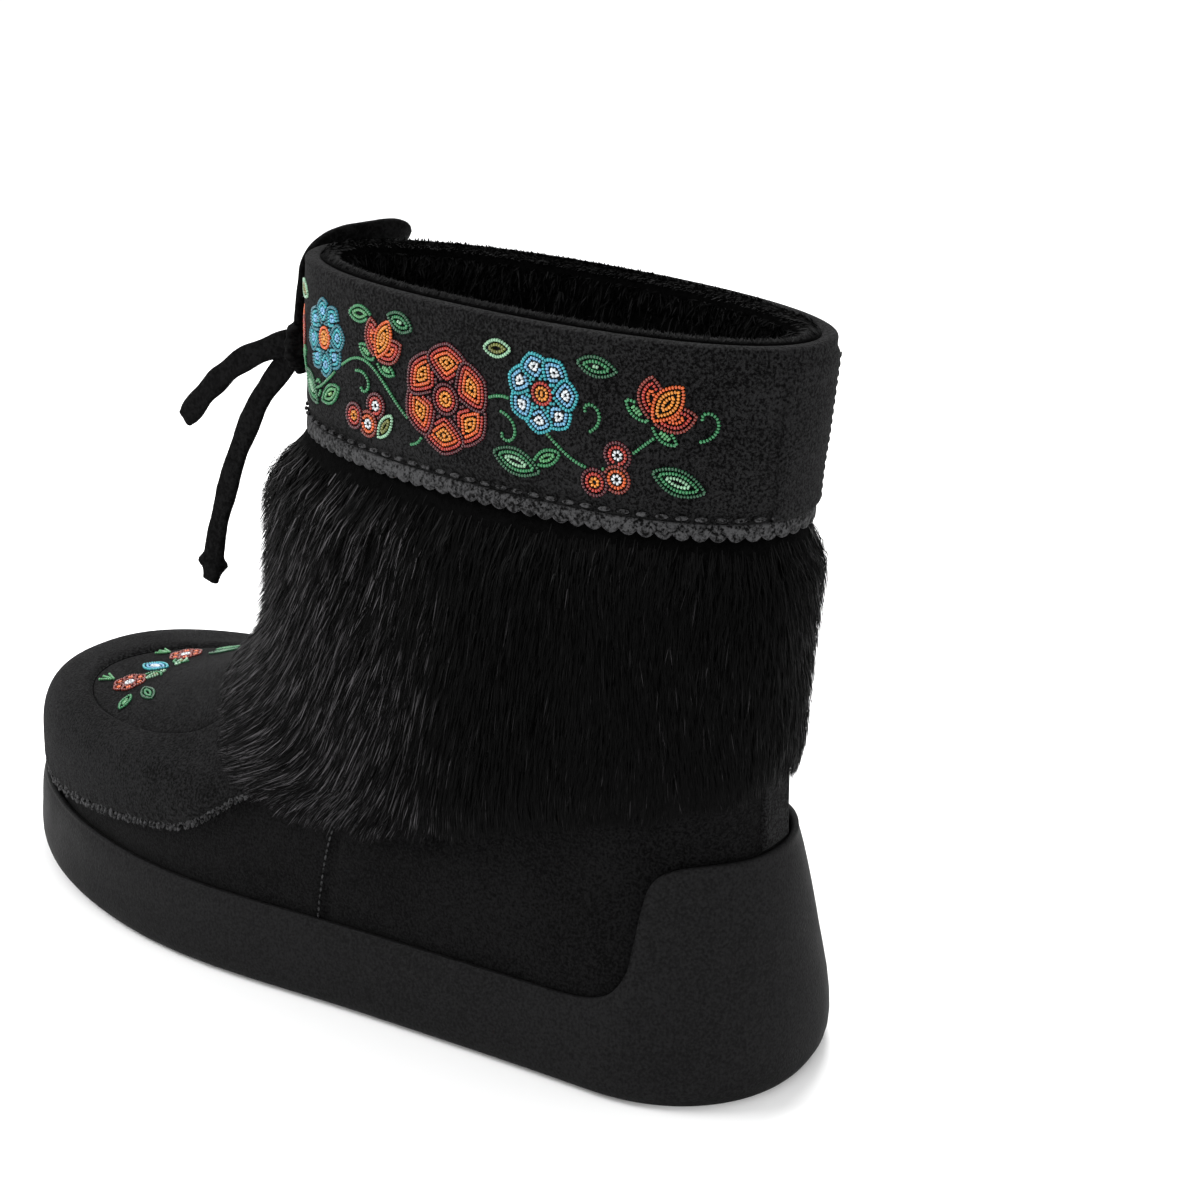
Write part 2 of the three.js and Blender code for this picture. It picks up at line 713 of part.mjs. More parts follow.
const rubber = { color: 0x1c1c1d, roughness: 0.7, metalness: 0 };
const suede = { color: 0x161617, roughness: 0.95, metalness: 0 };
const fur = { color: 0x0b0b0c, roughness: 1, metalness: 0 };
const felt = { color: 0x2a2a2b, roughness: 0.95, metalness: 0 };

const boot = new THREE.Group();
boot.add(meshOf('outsole', outsole(), rubber));
boot.add(meshOf('insole', insole(), felt));
boot.add(meshOf('upper', wallForm(0), suede));
boot.add(meshOf('vamp', vamp(), suede));
boot.add(meshOf('vamp_plug', vampPlug(), suede));
boot.add(meshOf('heel_strip', backStrip(0, stripWidth, heelCupTop + gap, heelStripTop), suede));
boot.add(meshOf('fur_band', furBand(), fur));
boot.add(meshOf('cuff', cuff(), suede));
boot.add(meshOf('cuff_trim', cuffTrim(), suede));
boot.add(meshOf('back_strip', backStrip(cuffThickness, cuffStripWidth, cuffBottom, cuffStripTop), suede));
const tie = new THREE.Group();
tie.add(meshOf('tie_knot', tieKnot(), suede));
tie.add(meshOf('tie_loop', tieThong(loopPoints, 14), suede));
tie.add(meshOf('tie_end_broad', tieThong(broadPoints, 6), suede));
tie.add(meshOf('tie_end_thin', tieThong(thinPoints, 9), suede));
boot.add(tie);
export default boot;
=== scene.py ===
"""A short left winter boot of the mukluk kind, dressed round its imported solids.

All shape values are millimetres in the boot's own frame, +Z up, toe to -Y, outer side to +X.
A place on the boot is a turn about the shaft's axis, 0 at the toe, and a station, which runs
from 0 at the floor of the cup to 1 at the collar.
"""
import math

import bpy
import numpy as np
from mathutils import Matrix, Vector


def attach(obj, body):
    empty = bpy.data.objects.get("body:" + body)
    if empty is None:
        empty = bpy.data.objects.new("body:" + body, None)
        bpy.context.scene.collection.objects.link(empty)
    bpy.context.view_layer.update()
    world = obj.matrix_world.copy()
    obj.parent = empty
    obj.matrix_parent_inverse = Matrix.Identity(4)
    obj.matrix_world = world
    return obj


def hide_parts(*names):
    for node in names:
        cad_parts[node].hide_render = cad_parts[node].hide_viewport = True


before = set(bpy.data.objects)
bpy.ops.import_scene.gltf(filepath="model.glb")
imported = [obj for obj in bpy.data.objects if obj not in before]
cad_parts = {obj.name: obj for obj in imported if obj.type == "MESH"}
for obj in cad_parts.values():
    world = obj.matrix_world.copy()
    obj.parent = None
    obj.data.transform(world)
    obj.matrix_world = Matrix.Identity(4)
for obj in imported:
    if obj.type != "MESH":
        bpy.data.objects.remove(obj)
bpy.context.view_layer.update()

MM = 0.001
TAU = 2 * math.pi
rng = np.random.default_rng(11)

# Foot
SOLE_LENGTH = 278
BALL_WIDTH = 108
TOE_SPRING = 5
SPRING_START = -33
TOE_HEIGHT = 56
# Shaft
SETBACK = 55
ANKLE_LENGTH = 140
ANKLE_WIDTH = 67
CUFF_BOTTOM = 149
COLLAR_HEIGHT = 189
COLLAR_RISE = 7
COLLAR_LENGTH = 146
COLLAR_WIDTH = 60
ANKLE_INSET = 13
COLLAR_INSET = 6
ANKLE_POWER = 2.3
COLLAR_POWER = 2.2
WALL = 2.6
# Sole
SOLE_LIP = 5
SOLE_BEVEL = 3
HEEL_CUP_TOP = 62
RUBBER_EDGE = 2.6
CUP_FLOOR = 9
TREAD_DEPTH = 3
TREAD_RIM = 9
BAR_WIDTH = 15
BAR_PITCH = 26
ARCH_RISE = 1.5
INSOLE_THICKNESS = 5
# Toe
SEAM_HEIGHT = 28.5
SEAM_SLOPE = 0.17
SEAM_LEVEL_END = -105
ROLL_DEPTH = 2.8
PLUG_LENGTH = 92
PLUG_WIDTH = 60
PLUG_MIDDLE = (5, -62)
PLUG_THICKNESS = 1.4
# Fur, cuff, trim and strips
FUR_DEPTH = 10
CUFF_THICKNESS = 3
RIM_HEIGHT = 2.2
RIM_TURN = 6
TRIM_DROP = 4
SCALLOP_DEPTH = 1.7
SCALLOPS = 84
STRIP_THICKNESS = 1.2
GAP = 0.3

PLAN = {
    "along": [0, 0.16, 0.4, 0.62, 0.78, 1],
    "middle": [0, 0.01, 0.06, 0, -0.04, -0.1],
    "half": [0.74, 0.76, 0.81, 0.98, 0.97, 0.92],
}
HEEL_ROUND = (0.15, 2.1)
TOE_ROUND = (0.33, 2.3)
RINGS = {
    "at": [0, 0.07, 0.14, 0.21, 0.28, 0.35, 0.42, 0.49, 0.56, 0.63, 0.7, 0.77, 0.88, 1],
    "toe": [0, 0.3, 0.57, 0.77, 0.9, 0.97, 1, 1, 1, 1, 1, 1, 1, 1],
    "shaft": [0, 0, 0, 0, 0, 0, 0.01, 0.06, 0.16, 0.34, 0.62, 1, 1, 1],
    "cuff": [0, 0, 0, 0, 0, 0, 0, 0, 0, 0, 0, 0, 0.5, 1],
    "toe_reach": [0.985, 1, 0.995, 0.975, 0.93, 0.85, 0.7, 0.52, 0.34, 0.17, 0.05, 0, 0, 0],
    "heel_reach": [0.98, 0.92, 0.66, 0.42, 0.28, 0.2, 0.15, 0.1, 0.06, 0.03, 0.01, 0, 0, 0],
    "flare": [0, 0, 0, 0, 0, 0, 0, 0, 0, 0, 0.1, 0.35, 0.67, 1],
}
CUP = {
    "y": [90, 98.5, 104, 109, 113, 116.5, 119, 122, 126, 132, 140],
    "height": [24.5, 25, 26.2, 29, 34.5, 44, 52, 57.5, 60.5, 62, 62],
}
SIDE = {
    "rise": [0, 0.05, 0.14, 0.55, 0.92, 1],
    "lean": [0, 0, 0.02, 0.45, 0.92, 1],
    "tuck": [1, 0.42, 0.08, -0.1, 0, 0.25],
}
ROLL = {
    "at": [0, 0.1, 0.21, 0.35, 0.49, 1],
    "stand": [0.45, 0.7, 1, 0.9, 0.7, 0.5],
}
HEM = {
    "turn": [0, 0.2, 0.34, 0.45, 0.55, 0.7, 0.9, 1.15, 1.6, 2.3, 3.2],
    "at": [0.565, 0.56, 0.51, 0.43, 0.33, 0.295, 0.29, 0.355, 0.462, 0.545, 0.612],
}


def mix(a, b, t):
    return a + (b - a) * t


def smooth(t, low, high):
    t = np.clip((np.asarray(t, float) - low) / (high - low), 0, 1)
    return t * t * (3 - 2 * t)


def column(table, key, name):
    """A smooth curve through one column of a table, natural at both ends."""
    keys = np.array(table[key], float)
    values = np.array(table[name], float)

    def evaluate(t):
        t = np.clip(np.asarray(t, float), keys[0], keys[-1])
        i = np.clip(np.searchsorted(keys, t, side="right"), 1, len(keys) - 1)
        t0, t1 = keys[i - 1], keys[i]
        before = np.where(i >= 2, i - 2, i)
        after = np.where(i + 1 < len(keys), i + 1, i - 1)
        half = (t1 - t0) / 2
        wp = half / (t0 - keys[before])
        wn = half / (keys[after] - t1)
        p = (t - t0) / (t1 - t0)
        p2, p3 = p * p, p * p * p
        total = (-wp * p3 + 2 * wp * p2 - wp * p) * values[before]
        total = total + ((1 + wp) * p3 + (-1.5 - 2 * wp) * p2 + (wp - 0.5) * p + 1) * values[i - 1]
        total = total + ((-1 - wn) * p3 + (1.5 + wn) * p2 + 0.5 * p) * values[i]
        return total + (wn * p3 - wn * p2) * values[after]

    return evaluate


def spring(y):
    t = np.maximum(0, (SPRING_START - y) / (SPRING_START + SOLE_LENGTH / 2))
    return TOE_SPRING * t * t


plan_middle = column(PLAN, "along", "middle")
plan_half = column(PLAN, "along", "half")


def round_end(left, end):
    t = np.maximum(0, 1 - left / end[0])
    return (1 - t ** end[1]) ** (1 / end[1])


def plan_point(turn):
    along = (1 + np.cos(turn)) / 2
    caps = round_end(along, HEEL_ROUND) * round_end(1 - along, TOE_ROUND)
    half = plan_half(along) * caps * np.sign(np.sin(turn))
    x = (plan_middle(along) + half) * BALL_WIDTH / 2
    return np.stack([x, SOLE_LENGTH * (0.5 - along)], -1)


PLAN_TURNS = (np.arange(1440) + 0.5) * TAU / 1440


def foot_plan(inset):
    ahead = plan_point(PLAN_TURNS + 0.01) - plan_point(PLAN_TURNS - 0.01)
    ahead /= np.linalg.norm(ahead, axis=1)[:, None]
    return plan_point(PLAN_TURNS) + np.stack([-ahead[:, 1], ahead[:, 0]], -1) * inset


def oval_plan(length, width, shift, power):
    c, s = np.cos(PLAN_TURNS), np.sin(PLAN_TURNS)
    x = np.sign(s) * np.abs(s) ** (2 / power) * width / 2
    y = SETBACK + shift - np.sign(c) * np.abs(c) ** (2 / power) * length / 2
    return np.stack([x, y], -1)


def lengths(line):
    """How far along a line each of its points is."""
    return np.concatenate([[0], np.cumsum(np.linalg.norm(np.diff(line, axis=0), axis=1))])


def on_line(marks, run, line):
    """Points of a line at distances along it."""
    return np.stack([np.interp(marks, run, part) for part in line.T], -1)


def radius_of(points):
    turn = np.arctan2(points[:, 0], SETBACK - points[:, 1])
    radius = np.hypot(points[:, 0], points[:, 1] - SETBACK)
    order = np.argsort(turn)
    return lambda at: np.interp(at, turn[order], radius[order], period=TAU)


HEEL_BACK = SOLE_LENGTH / 2 - SETBACK
ankle_shift = HEEL_BACK - ANKLE_INSET - ANKLE_LENGTH / 2
collar_shift = HEEL_BACK - COLLAR_INSET - COLLAR_LENGTH / 2
sole_radius = radius_of(foot_plan(0))
foot_radius = radius_of(foot_plan(SOLE_LIP))
ankle_radius = radius_of(oval_plan(ANKLE_LENGTH, ANKLE_WIDTH, ankle_shift, ANKLE_POWER))
collar_radius = radius_of(oval_plan(COLLAR_LENGTH, COLLAR_WIDTH, collar_shift, COLLAR_POWER))


def spaced_turns(count):
    """Turns spaced evenly along the rims, and closer together where the heel cup climbs."""
    turn = np.linspace(-math.pi, math.pi, 1441)
    total = np.zeros(len(turn))
    for radius in (sole_radius, collar_radius):
        rim = np.stack([radius(turn) * np.sin(turn), radius(turn) * np.cos(turn)], -1)
        total[1:] += np.linalg.norm(np.diff(rim, axis=0), axis=1)
    total *= 1 + 1.6 * np.exp(-(((np.abs(turn) - 2.6) / 0.2) ** 2))
    total = np.cumsum(total)
    return np.interp((np.arange(count) + 0.5) / count * total[-1], total, turn)


toe_share, shaft_share, cuff_share, toe_reach, heel_reach, flare = (
    column(RINGS, "at", name) for name in ("toe", "shaft", "cuff", "toe_reach", "heel_reach", "flare"))
roll_stand = column(ROLL, "at", "stand")
cup_height = column(CUP, "y", "height")
side_lean = column(SIDE, "rise", "lean")
side_tuck = column(SIDE, "rise", "tuck")
hem_curve = column(HEM, "turn", "at")


def height_at(at):
    foot = toe_share(at) * (TOE_HEIGHT - CUP_FLOOR - GAP)
    shaft = shaft_share(at) * (CUFF_BOTTOM - TOE_HEIGHT)
    return CUP_FLOOR + GAP + foot + shaft + cuff_share(at) * (COLLAR_HEIGHT - CUFF_BOTTOM)


STATIONS = np.linspace(0, 1, 2001)
STATION_HEIGHTS = np.maximum.accumulate(height_at(STATIONS) + STATIONS * 1e-6)


def station_at(height):
    return np.interp(height, STATION_HEIGHTS, STATIONS)


def radius_at(turn, at):
    front = (1 + np.cos(turn)) / 2
    reach = mix(heel_reach(at), toe_reach(at), front)
    ankle = ankle_radius(turn)
    return mix(ankle + reach * (foot_radius(turn) - ankle), collar_radius(turn), flare(at))


def face(turn, at):
    """A point of the upper's outer face."""
    radius = radius_at(turn, at)
    y = SETBACK - radius * np.cos(turn)
    forward = (HEEL_BACK + SETBACK - y) / COLLAR_LENGTH
    z = height_at(at) + spring(y) + COLLAR_RISE * shaft_share(at) * forward
    return np.stack([radius * np.sin(turn), y, z], -1)


def unit(v):
    return v / np.maximum(np.linalg.norm(v, axis=-1, keepdims=True), 1e-9)


def frame_at(turn, at):
    """Point, outward normal, direction round the boot and direction up it."""
    turn, at = np.broadcast_arrays(np.asarray(turn, float), np.asarray(at, float))
    up = face(turn, np.minimum(1, at + 0.01)) - face(turn, np.maximum(0, at - 0.01))
    around = unit(face(turn + 0.01, at) - face(turn - 0.01, at))
    normal = np.cross(around, up)
    level = (at <= 0) | (at >= 1)
    normal[..., 2] = np.where(level, 0, normal[..., 2])
    normal = unit(normal)
    return face(turn, at), normal, around, np.cross(normal, around)


def skin(turn, at, out, rise=0):
    """The outer face moved out along its normals and up."""
    point, normal = frame_at(turn, at)[:2]
    moved = point + normal * np.asarray(out, float)[..., None]
    moved[..., 2] += rise
    return moved


def station_of(turn, radius, low=0.1):
    """The station above a low one where the face has a radius in a direction."""
    stations = np.linspace(low, 0.8, 141)
    table = radius_at(np.asarray(turn)[:, None], stations[None])
    return np.array([np.interp(-r, -row, stations) for r, row in zip(radius, table)])


# Lengths up the face by turn and station, and the stations by turn and length
TURN_STEPS = 360
STATION_STEPS = 600
RUN_STEP = 0.25
grid_stations = np.linspace(0, 1, STATION_STEPS + 1)
grid_face = face(np.linspace(-math.pi, math.pi, TURN_STEPS + 1)[:, None], grid_stations[None])
grid_run = np.array([lengths(line) for line in grid_face])
run_marks = np.arange(0, grid_run.max() + 1, RUN_STEP)
grid_back = np.array([np.interp(run_marks, run, grid_stations) for run in grid_run])


def looked_up(table, rows, columns):
    """A value of a table between its rows and columns."""
    r0 = np.clip(rows.astype(int), 0, table.shape[0] - 2)
    c0 = np.clip(columns.astype(int), 0, table.shape[1] - 2)
    r, c = np.clip(rows - r0, 0, 1), np.clip(columns - c0, 0, 1)
    low = mix(table[r0, c0], table[r0 + 1, c0], r)
    return mix(low, mix(table[r0, c0 + 1], table[r0 + 1, c0 + 1], r), c)


def turn_row(turn):
    return ((turn + math.pi) % TAU) / TAU * TURN_STEPS


def run_of(turn, at):
    """How far a station is up the boot, in millimetres along its face."""
    return looked_up(grid_run, turn_row(turn), at * STATION_STEPS)


def station_on(turn, run):
    """The station a length up the boot's face."""
    return looked_up(grid_back, turn_row(turn), run / RUN_STEP)


def hem_at(turn):
    """Station of the fur's ragged hem."""
    return hem_curve(np.abs((turn + math.pi) % TAU - math.pi))


def waves(points, size, seed, octaves=2):
    """Smooth seeded noise from -1 to 1 at points, as a sum of slanted waves."""
    local = np.random.default_rng(seed)
    total = np.zeros(points.shape[:-1])
    for octave in range(octaves):
        for _ in range(5):
            way = unit(local.normal(size=3)) * TAU / (size / 1.9 ** octave)
            total += np.sin(points @ way + local.uniform(0, TAU)) / (2.2 * 1.7 ** octave)
    return np.clip(total / 1.4, -1, 1)


# Meshes

def quads(rows, count, round_ring=True, round_rows=False):
    """Corners of the faces between rows of points."""
    r = np.arange(rows if round_rows else rows - 1)[:, None]
    i = np.arange(count if round_ring else count - 1)[None]
    j, up = (i + 1) % count, (r + 1) % rows
    stack = [r * count + i, r * count + j, up * count + j, up * count + i]
    return np.stack(np.broadcast_arrays(*stack), -1).reshape(-1, 4)


def piece(name, points, faces, material, caps=(), node=None):
    """A smooth mesh that rides on the boot, in a node's place. Caps are rings with a face each."""
    mesh = bpy.data.meshes.new(name)
    points = np.asarray(points, float).reshape(-1, 3) * MM
    faces = np.asarray(faces, int)
    caps = [np.asarray(cap, int) for cap in caps]
    corners = np.concatenate([faces.ravel(), *caps]).astype(np.int32)
    sizes = np.concatenate([np.full(len(faces), faces.shape[1]), [len(cap) for cap in caps]])
    starts = np.concatenate([[0], np.cumsum(sizes)[:-1]]).astype(np.int32)
    mesh.vertices.add(len(points))
    mesh.vertices.foreach_set("co", points.ravel())
    mesh.loops.add(len(corners))
    mesh.loops.foreach_set("vertex_index", corners)
    mesh.polygons.add(len(sizes))
    mesh.polygons.foreach_set("loop_start", starts)
    mesh.polygons.foreach_set("use_smooth", np.ones(len(sizes), bool))
    mesh.update(calc_edges=True)
    mesh.materials.append(material)
    made = bpy.data.objects.new(name, mesh)
    bpy.context.collection.objects.link(made)
    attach(made, "root")
    if node:
        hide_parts(node)
    return made


def paint(made, name, values):
    """A number or a colour for each point of a mesh."""
    values = np.asarray(values, float)
    kind, field = ("FLOAT", "value") if values.ndim == 1 else ("FLOAT_COLOR", "color")
    if values.ndim == 2:
        values = np.concatenate([values, np.ones((len(values), 1))], 1)
    layer = made.data.attributes.new(name, kind, "POINT")
    layer.data.foreach_set(field, values.ravel())


def rings_piece(name, rings, material, node=None, round_rows=False):
    """A mesh through closed rings, capped at both ends or joined from the last to the first."""
    rings = np.asarray(rings)
    rows, count = rings.shape[:2]
    first = np.arange(count)
    caps = [] if round_rows else [first[::-1], first + (rows - 1) * count]
    return piece(name, rings, quads(rows, count, True, round_rows), material, caps, node)


def bead_form(segments, rows):
    """A small ball of unit size with points on its long axis."""
    points, faces = [[0, 0, -0.5]], []
    for r in range(1, rows):
        polar = math.pi * r / rows
        for s in range(segments):
            turn = TAU * s / segments
            side = math.sin(polar) / 2
            points.append([side * math.cos(turn), side * math.sin(turn), -math.cos(polar) / 2])
    points.append([0, 0, 0.5])
    last = len(points) - 1
    for s in range(segments):
        t = (s + 1) % segments
        faces.append([0, 1 + t, 1 + s])
        for r in range(rows - 2):
            a, b = 1 + r * segments, 1 + (r + 1) * segments
            faces += [[a + s, a + t, b + t], [a + s, b + t, b + s]]
        top = 1 + (rows - 2) * segments
        faces.append([top + s, top + t, last])
    return np.array(points), np.array(faces)


def many(name, form, centres, axes, sizes, material):
    """One mesh of many copies of a small form. Axes are each copy's own x, y and z."""
    points, faces = form
    sizes = np.broadcast_to(sizes, (len(centres), 3))
    laid = centres[:, None]
    for k, axis in enumerate(axes):
        laid = laid + (points[None, :, k:k + 1] * sizes[:, None, k:k + 1]) * axis[:, None]
    steps = np.arange(len(centres))[:, None, None] * len(points)
    return piece(name, laid, (faces[None] + steps).reshape(-1, 3), material)


# Materials

def give(node, **values):
    """Set a node's inputs by name."""
    for key, value in values.items():
        node.inputs[key.replace("_", " ")].default_value = value


class Look:
    """A material whose textures follow the object's own coordinates."""

    def __init__(self, name, roughness, **constants):
        self.made = bpy.data.materials.new(name)
        self.made.use_nodes = True
        self.shader = self.made.node_tree.nodes["Principled BSDF"]
        give(self.shader, Roughness=roughness, **constants)
        self.coords = self.node("TexCoord").outputs["Object"]

    def node(self, kind, **values):
        made = self.made.node_tree.nodes.new("ShaderNode" + kind)
        give(made, **values)
        return made

    def link(self, source, node, name):
        self.made.node_tree.links.new(source, node.inputs[name])

    def colour(self, source):
        self.link(source, self.shader, "Base Color")

    def noise(self, scale, detail, rough):
        texture = self.node("TexNoise", Scale=scale, Detail=detail, Roughness=rough)
        self.link(self.coords, texture, "Vector")
        return texture.outputs["Fac"]

    def painted(self, name):
        """The node that reads what was painted on a mesh's points."""
        made = self.node("Attribute")
        made.attribute_name = name
        return made

    def ramp(self, source, stops):
        made = self.node("ValToRGB")
        elements = made.color_ramp.elements
        elements[0].position = stops[0][0]
        elements[1].position = stops[-1][0]
        for place, colour in stops[1:-1]:
            elements.new(place)
        for element, (place, colour) in zip(elements, stops):
            element.position = place
            element.color = (*colour, 1)
        self.link(source, made, "Fac")
        return made.outputs["Color"]

    def mottled(self, fine, broad, share, stops):
        """A colour that follows a fine grain, with a share of a broad one."""
        blend = self.node("Mix", Factor=share)
        self.link(fine, blend, "A")
        self.link(broad, blend, "B")
        self.colour(self.ramp(blend.outputs["Result"], stops))

    def bump(self, *sources):
        """Stacked bumps. Each source is a height, how deep it is in millimetres and a strength."""
        last = None
        for source, depth, strength in sources:
            made = self.node("Bump", Distance=depth * MM, Strength=strength)
            self.link(source, made, "Height")
            if last is not None:
                self.link(last, made, "Normal")
            last = made.outputs["Normal"]
        self.link(last, self.shader, "Normal")


def napped(name, dark, light, roughness=0.92, sheen=0.02, nap=0.5, grain=1400):
    """Suede or felt: a fine nap, mottled by broader brushing, with a soft sheen."""
    look = Look(name, roughness, Sheen_Weight=sheen, Sheen_Roughness=0.45, Specular_IOR_Level=0.04)
    fine = look.noise(grain, 4.0, 0.7)
    broad = look.noise(45, 3.0, 0.5)
    look.mottled(fine, broad, 0.14, [(0.43, dark), (0.57, light)])
    look.bump((broad, 0.4, 0.2), (fine, nap, 0.8))
    return look.made


def rubber_look(name, dark, light):
    """Moulded rubber: a fine pebbled skin with soft scuffs."""
    look = Look(name, 0.62, Specular_IOR_Level=0.06)
    pebble = look.node("TexVoronoi", Scale=1500)
    look.link(look.coords, pebble, "Vector")
    fine = look.noise(1300, 3.0, 0.6)
    broad = look.noise(35, 5.0, 0.7)
    look.mottled(fine, broad, 0.25, [(0.40, dark), (0.60, light)])
    look.link(look.ramp(broad, [(0.3, (0.56,) * 3), (0.7, (0.74,) * 3)]), look.shader, "Roughness")
    look.bump((pebble.outputs["Distance"], 0.12, 0.5), (fine, 0.12, 0.5))
    return look.made


def hair_look(name, stops, roughness):
    """Hair whose colour follows the shade painted on each strand; on the fur this also holds a painted
    light towards the toe.
    """
    look = Look(name, roughness, Specular_IOR_Level=0.05)
    look.colour(look.ramp(look.painted("shade").outputs["Fac"], stops))
    look.bump((look.noise(2500, 2.0, 0.5), 0.05, 0.3))
    return look.made


def bead_look(name):
    """Glass seed beads in their own colours."""
    look = Look(name, 0.28, Specular_IOR_Level=0.5, Coat_Weight=0.25, Coat_Roughness=0.15)
    vary = look.node("HueSaturation")
    level = look.node("MapRange", To_Min=0.75, To_Max=1.25)
    look.link(look.noise(700, 1.0, 0.5), level, "Value")
    look.link(level.outputs["Result"], vary, "Value")
    look.link(look.painted("bead").outputs["Color"], vary, "Color")
    look.colour(vary.outputs["Color"])
    return look.made


def grey(value, blue=1.03):
    return (value, value, value * blue)


suede = napped("suede", grey(0.0002), grey(0.0062), nap=0.8)
suede_soft = napped("suede_toe", grey(0.0006), grey(0.0128), nap=0.8)
suede_cuff = napped("suede_cuff", grey(0.0006), grey(0.0160), nap=0.8)
trim_felt = napped("trim_felt", grey(0.001), grey(0.056), sheen=0.06, grain=1000)
thread = napped("thread", grey(0.004), grey(0.018), 0.7, 0.02, 0.2, 2500)
thong_leather = napped("thong_leather", grey(0.0008), grey(0.0050), 0.85, 0.0, 0.4, 800)
plush_base = napped("plush_base", grey(0.0002), grey(0.0010), 1.0, 0.0, 0.6, 700)
rubber = rubber_look("moulded_rubber", grey(0.0030), grey(0.0100))
FUR_TONES = [(0.0, grey(0.0002)), (0.4, grey(0.0014)), (1.0, (0.125, 0.119, 0.125))]
fur_hair = hair_look("fur_hair", FUR_TONES, 0.42)
pile_hair = hair_look("pile_hair", [(0.0, grey(0.0003)), (1.0, grey(0.010))], 0.7)
beads_glass = bead_look("glass_beads")

# Camera: the photograph's angle, 60 mm on 36 mm.
camera_data = bpy.data.cameras.new("camera")
camera_data.lens = 60
camera_data.sensor_width = 36
camera = bpy.data.objects.new("camera", camera_data)
camera.location = (0.39266, 0.35012, 0.291)
camera.rotation_euler = (math.radians(70), 0, math.radians(125.2))
bpy.context.collection.objects.link(camera)
bpy.context.scene.camera = camera


# Tie: a knot on the front of the cuff, a loop over the rim and two flat ends.

LOOP = [
    (-1.0, 0.5, 6.0), (-2.5, 1.0, 16.0), (-4.0, 1.5, 22.5), (-9.0, 3.0, 26.5), (-17.0, 6.0, 28.0),
    (-27.5, 9.5, 28.5), (-33.0, 8.5, 25.5), (-29.0, 3.0, 21.5), (-18.0, -3.0, 16.5), (-6.0, -3.5, 5.5),
]
BROAD = [(2.0, -2.0, 1.5), (4.5, -17.0, -5.0), (5.0, -30.0, -14.5), (5.0, -41.0, -25.0)]
THIN = [
    (1.5, -2.0, -2.5), (3.0, -14.0, -17.0), (4.0, -24.0, -36.0), (4.8, -31.0, -55.0),
    (5.5, -35.0, -72.0),
]
KNOT_SIZE = np.array([11, 6.4, 15])
KNOT_HEIGHT = 0.33
THONG_WIDTH = 7
THONG_THICKNESS = 2.4


def knot_place():
    at = mix(station_at(CUFF_BOTTOM), 1, KNOT_HEIGHT)
    front = skin(np.array([0.0]), at, CUFF_THICKNESS + GAP)[0]
    return np.array([KNOT_SIZE[0] * 0.7, front[1] - KNOT_SIZE[1] / 2, front[2]])


def smooth_path(points, count):
    """Catmull-Rom through points, spaced evenly."""
    p = np.asarray(points, float)
    p = np.concatenate([[2 * p[0] - p[1]], p, [2 * p[-1] - p[-2]]])
    dense = []
    for k in range(1, len(p) - 2):
        t = np.linspace(0, 1, 40, endpoint=False)[:, None]
        a, b, c, d = p[k - 1:k + 3]
        dense.append(0.5 * (2 * b + (c - a) * t + (2 * a - 5 * b + 4 * c - d) * t ** 2
                            + (3 * b - a - 3 * c + d) * t ** 3))
    dense = np.concatenate([*dense, [p[-2]]])
    run = lengths(dense)
    return on_line(np.linspace(0, run[-1], count), run, dense), run[-1]


def thong(name, node, points, facing, end_swell=0):
    """A flat thong swept along its path, its broad face towards facing."""
    path, length = smooth_path(np.array(points) + knot_place(), 90)
    ahead = unit(np.gradient(path, axis=0))
    normal = np.zeros_like(path)
    last = np.array(facing, float)
    for k, way in enumerate(ahead):
        last = last - way * (last @ way)
        last /= np.linalg.norm(last)
        normal[k] = last
    side = np.cross(ahead, normal)
    along = np.linspace(0, 1, len(path))
    turn = np.arange(20) * TAU / 20
    across = np.sign(np.cos(turn)) * np.abs(np.cos(turn)) ** 0.55
    thick = np.sign(np.sin(turn)) * np.abs(np.sin(turn)) ** 0.8
    end = 1 - 0.12 * np.exp(-((1 - along) / 0.03) ** 2)
    swell = end_swell * np.exp(-((along - 0.93) / 0.022) ** 2)
    width = THONG_WIDTH / 2 * (0.94 + 0.06 * np.sin(along * 23)) * end * (1 + swell * 0.35)
    deep = THONG_THICKNESS / 2 * (1 + swell * 1.6)
    crown = 1 - 0.16 * (1 - np.abs(across)) ** 2
    rings = path[:, None] + side[:, None] * (across[None] * width[:, None])[..., None]
    rings = rings + normal[:, None] * ((thick * crown)[None] * deep[:, None])[..., None]
    rings = rings + normal[:, None] * (waves(rings, 9, 5) * 0.18)[..., None]
    made = rings_piece(name, rings, thong_leather, node)


def tie_knot():
    """The knot: a flattened core wrapped by two turns of the thong."""
    place = knot_place()
    polar = np.linspace(0.06, math.pi - 0.06, 40)[:, None]
    turn = (np.arange(56) * TAU / 56)[None]
    x = np.sin(polar) * np.cos(turn)
    y = np.sin(polar) * np.sin(turn)
    z = -np.cos(polar) + 0 * turn
    lobe = 1 + 0.07 * np.cos(3 * (z * 1.5 + 0.5 * x) * math.pi) - 0.05 * np.abs(np.sin(2.2 * x * math.pi))
    ball = np.stack([x, y, z], -1) * (KNOT_SIZE / 2 * 0.98) * lobe[..., None]
    ball += (waves(ball, 5, 3) * 0.2)[..., None] * unit(ball)
    return rings_piece("tie_knot_tied", ball + place, thong_leather, "tie_knot")


knot_piece = tie_knot()
thong("tie_loop_strap", "tie_loop", LOOP, (0, -1, 0))
thong("tie_end_broad_strap", "tie_end_broad", BROAD, (1, 0, 0))
thong("tie_end_thin_strap", "tie_end_thin", THIN, (1, 0, 0), 1)


# Outsole

MERIDIANS = 300
turns = spaced_turns(MERIDIANS)


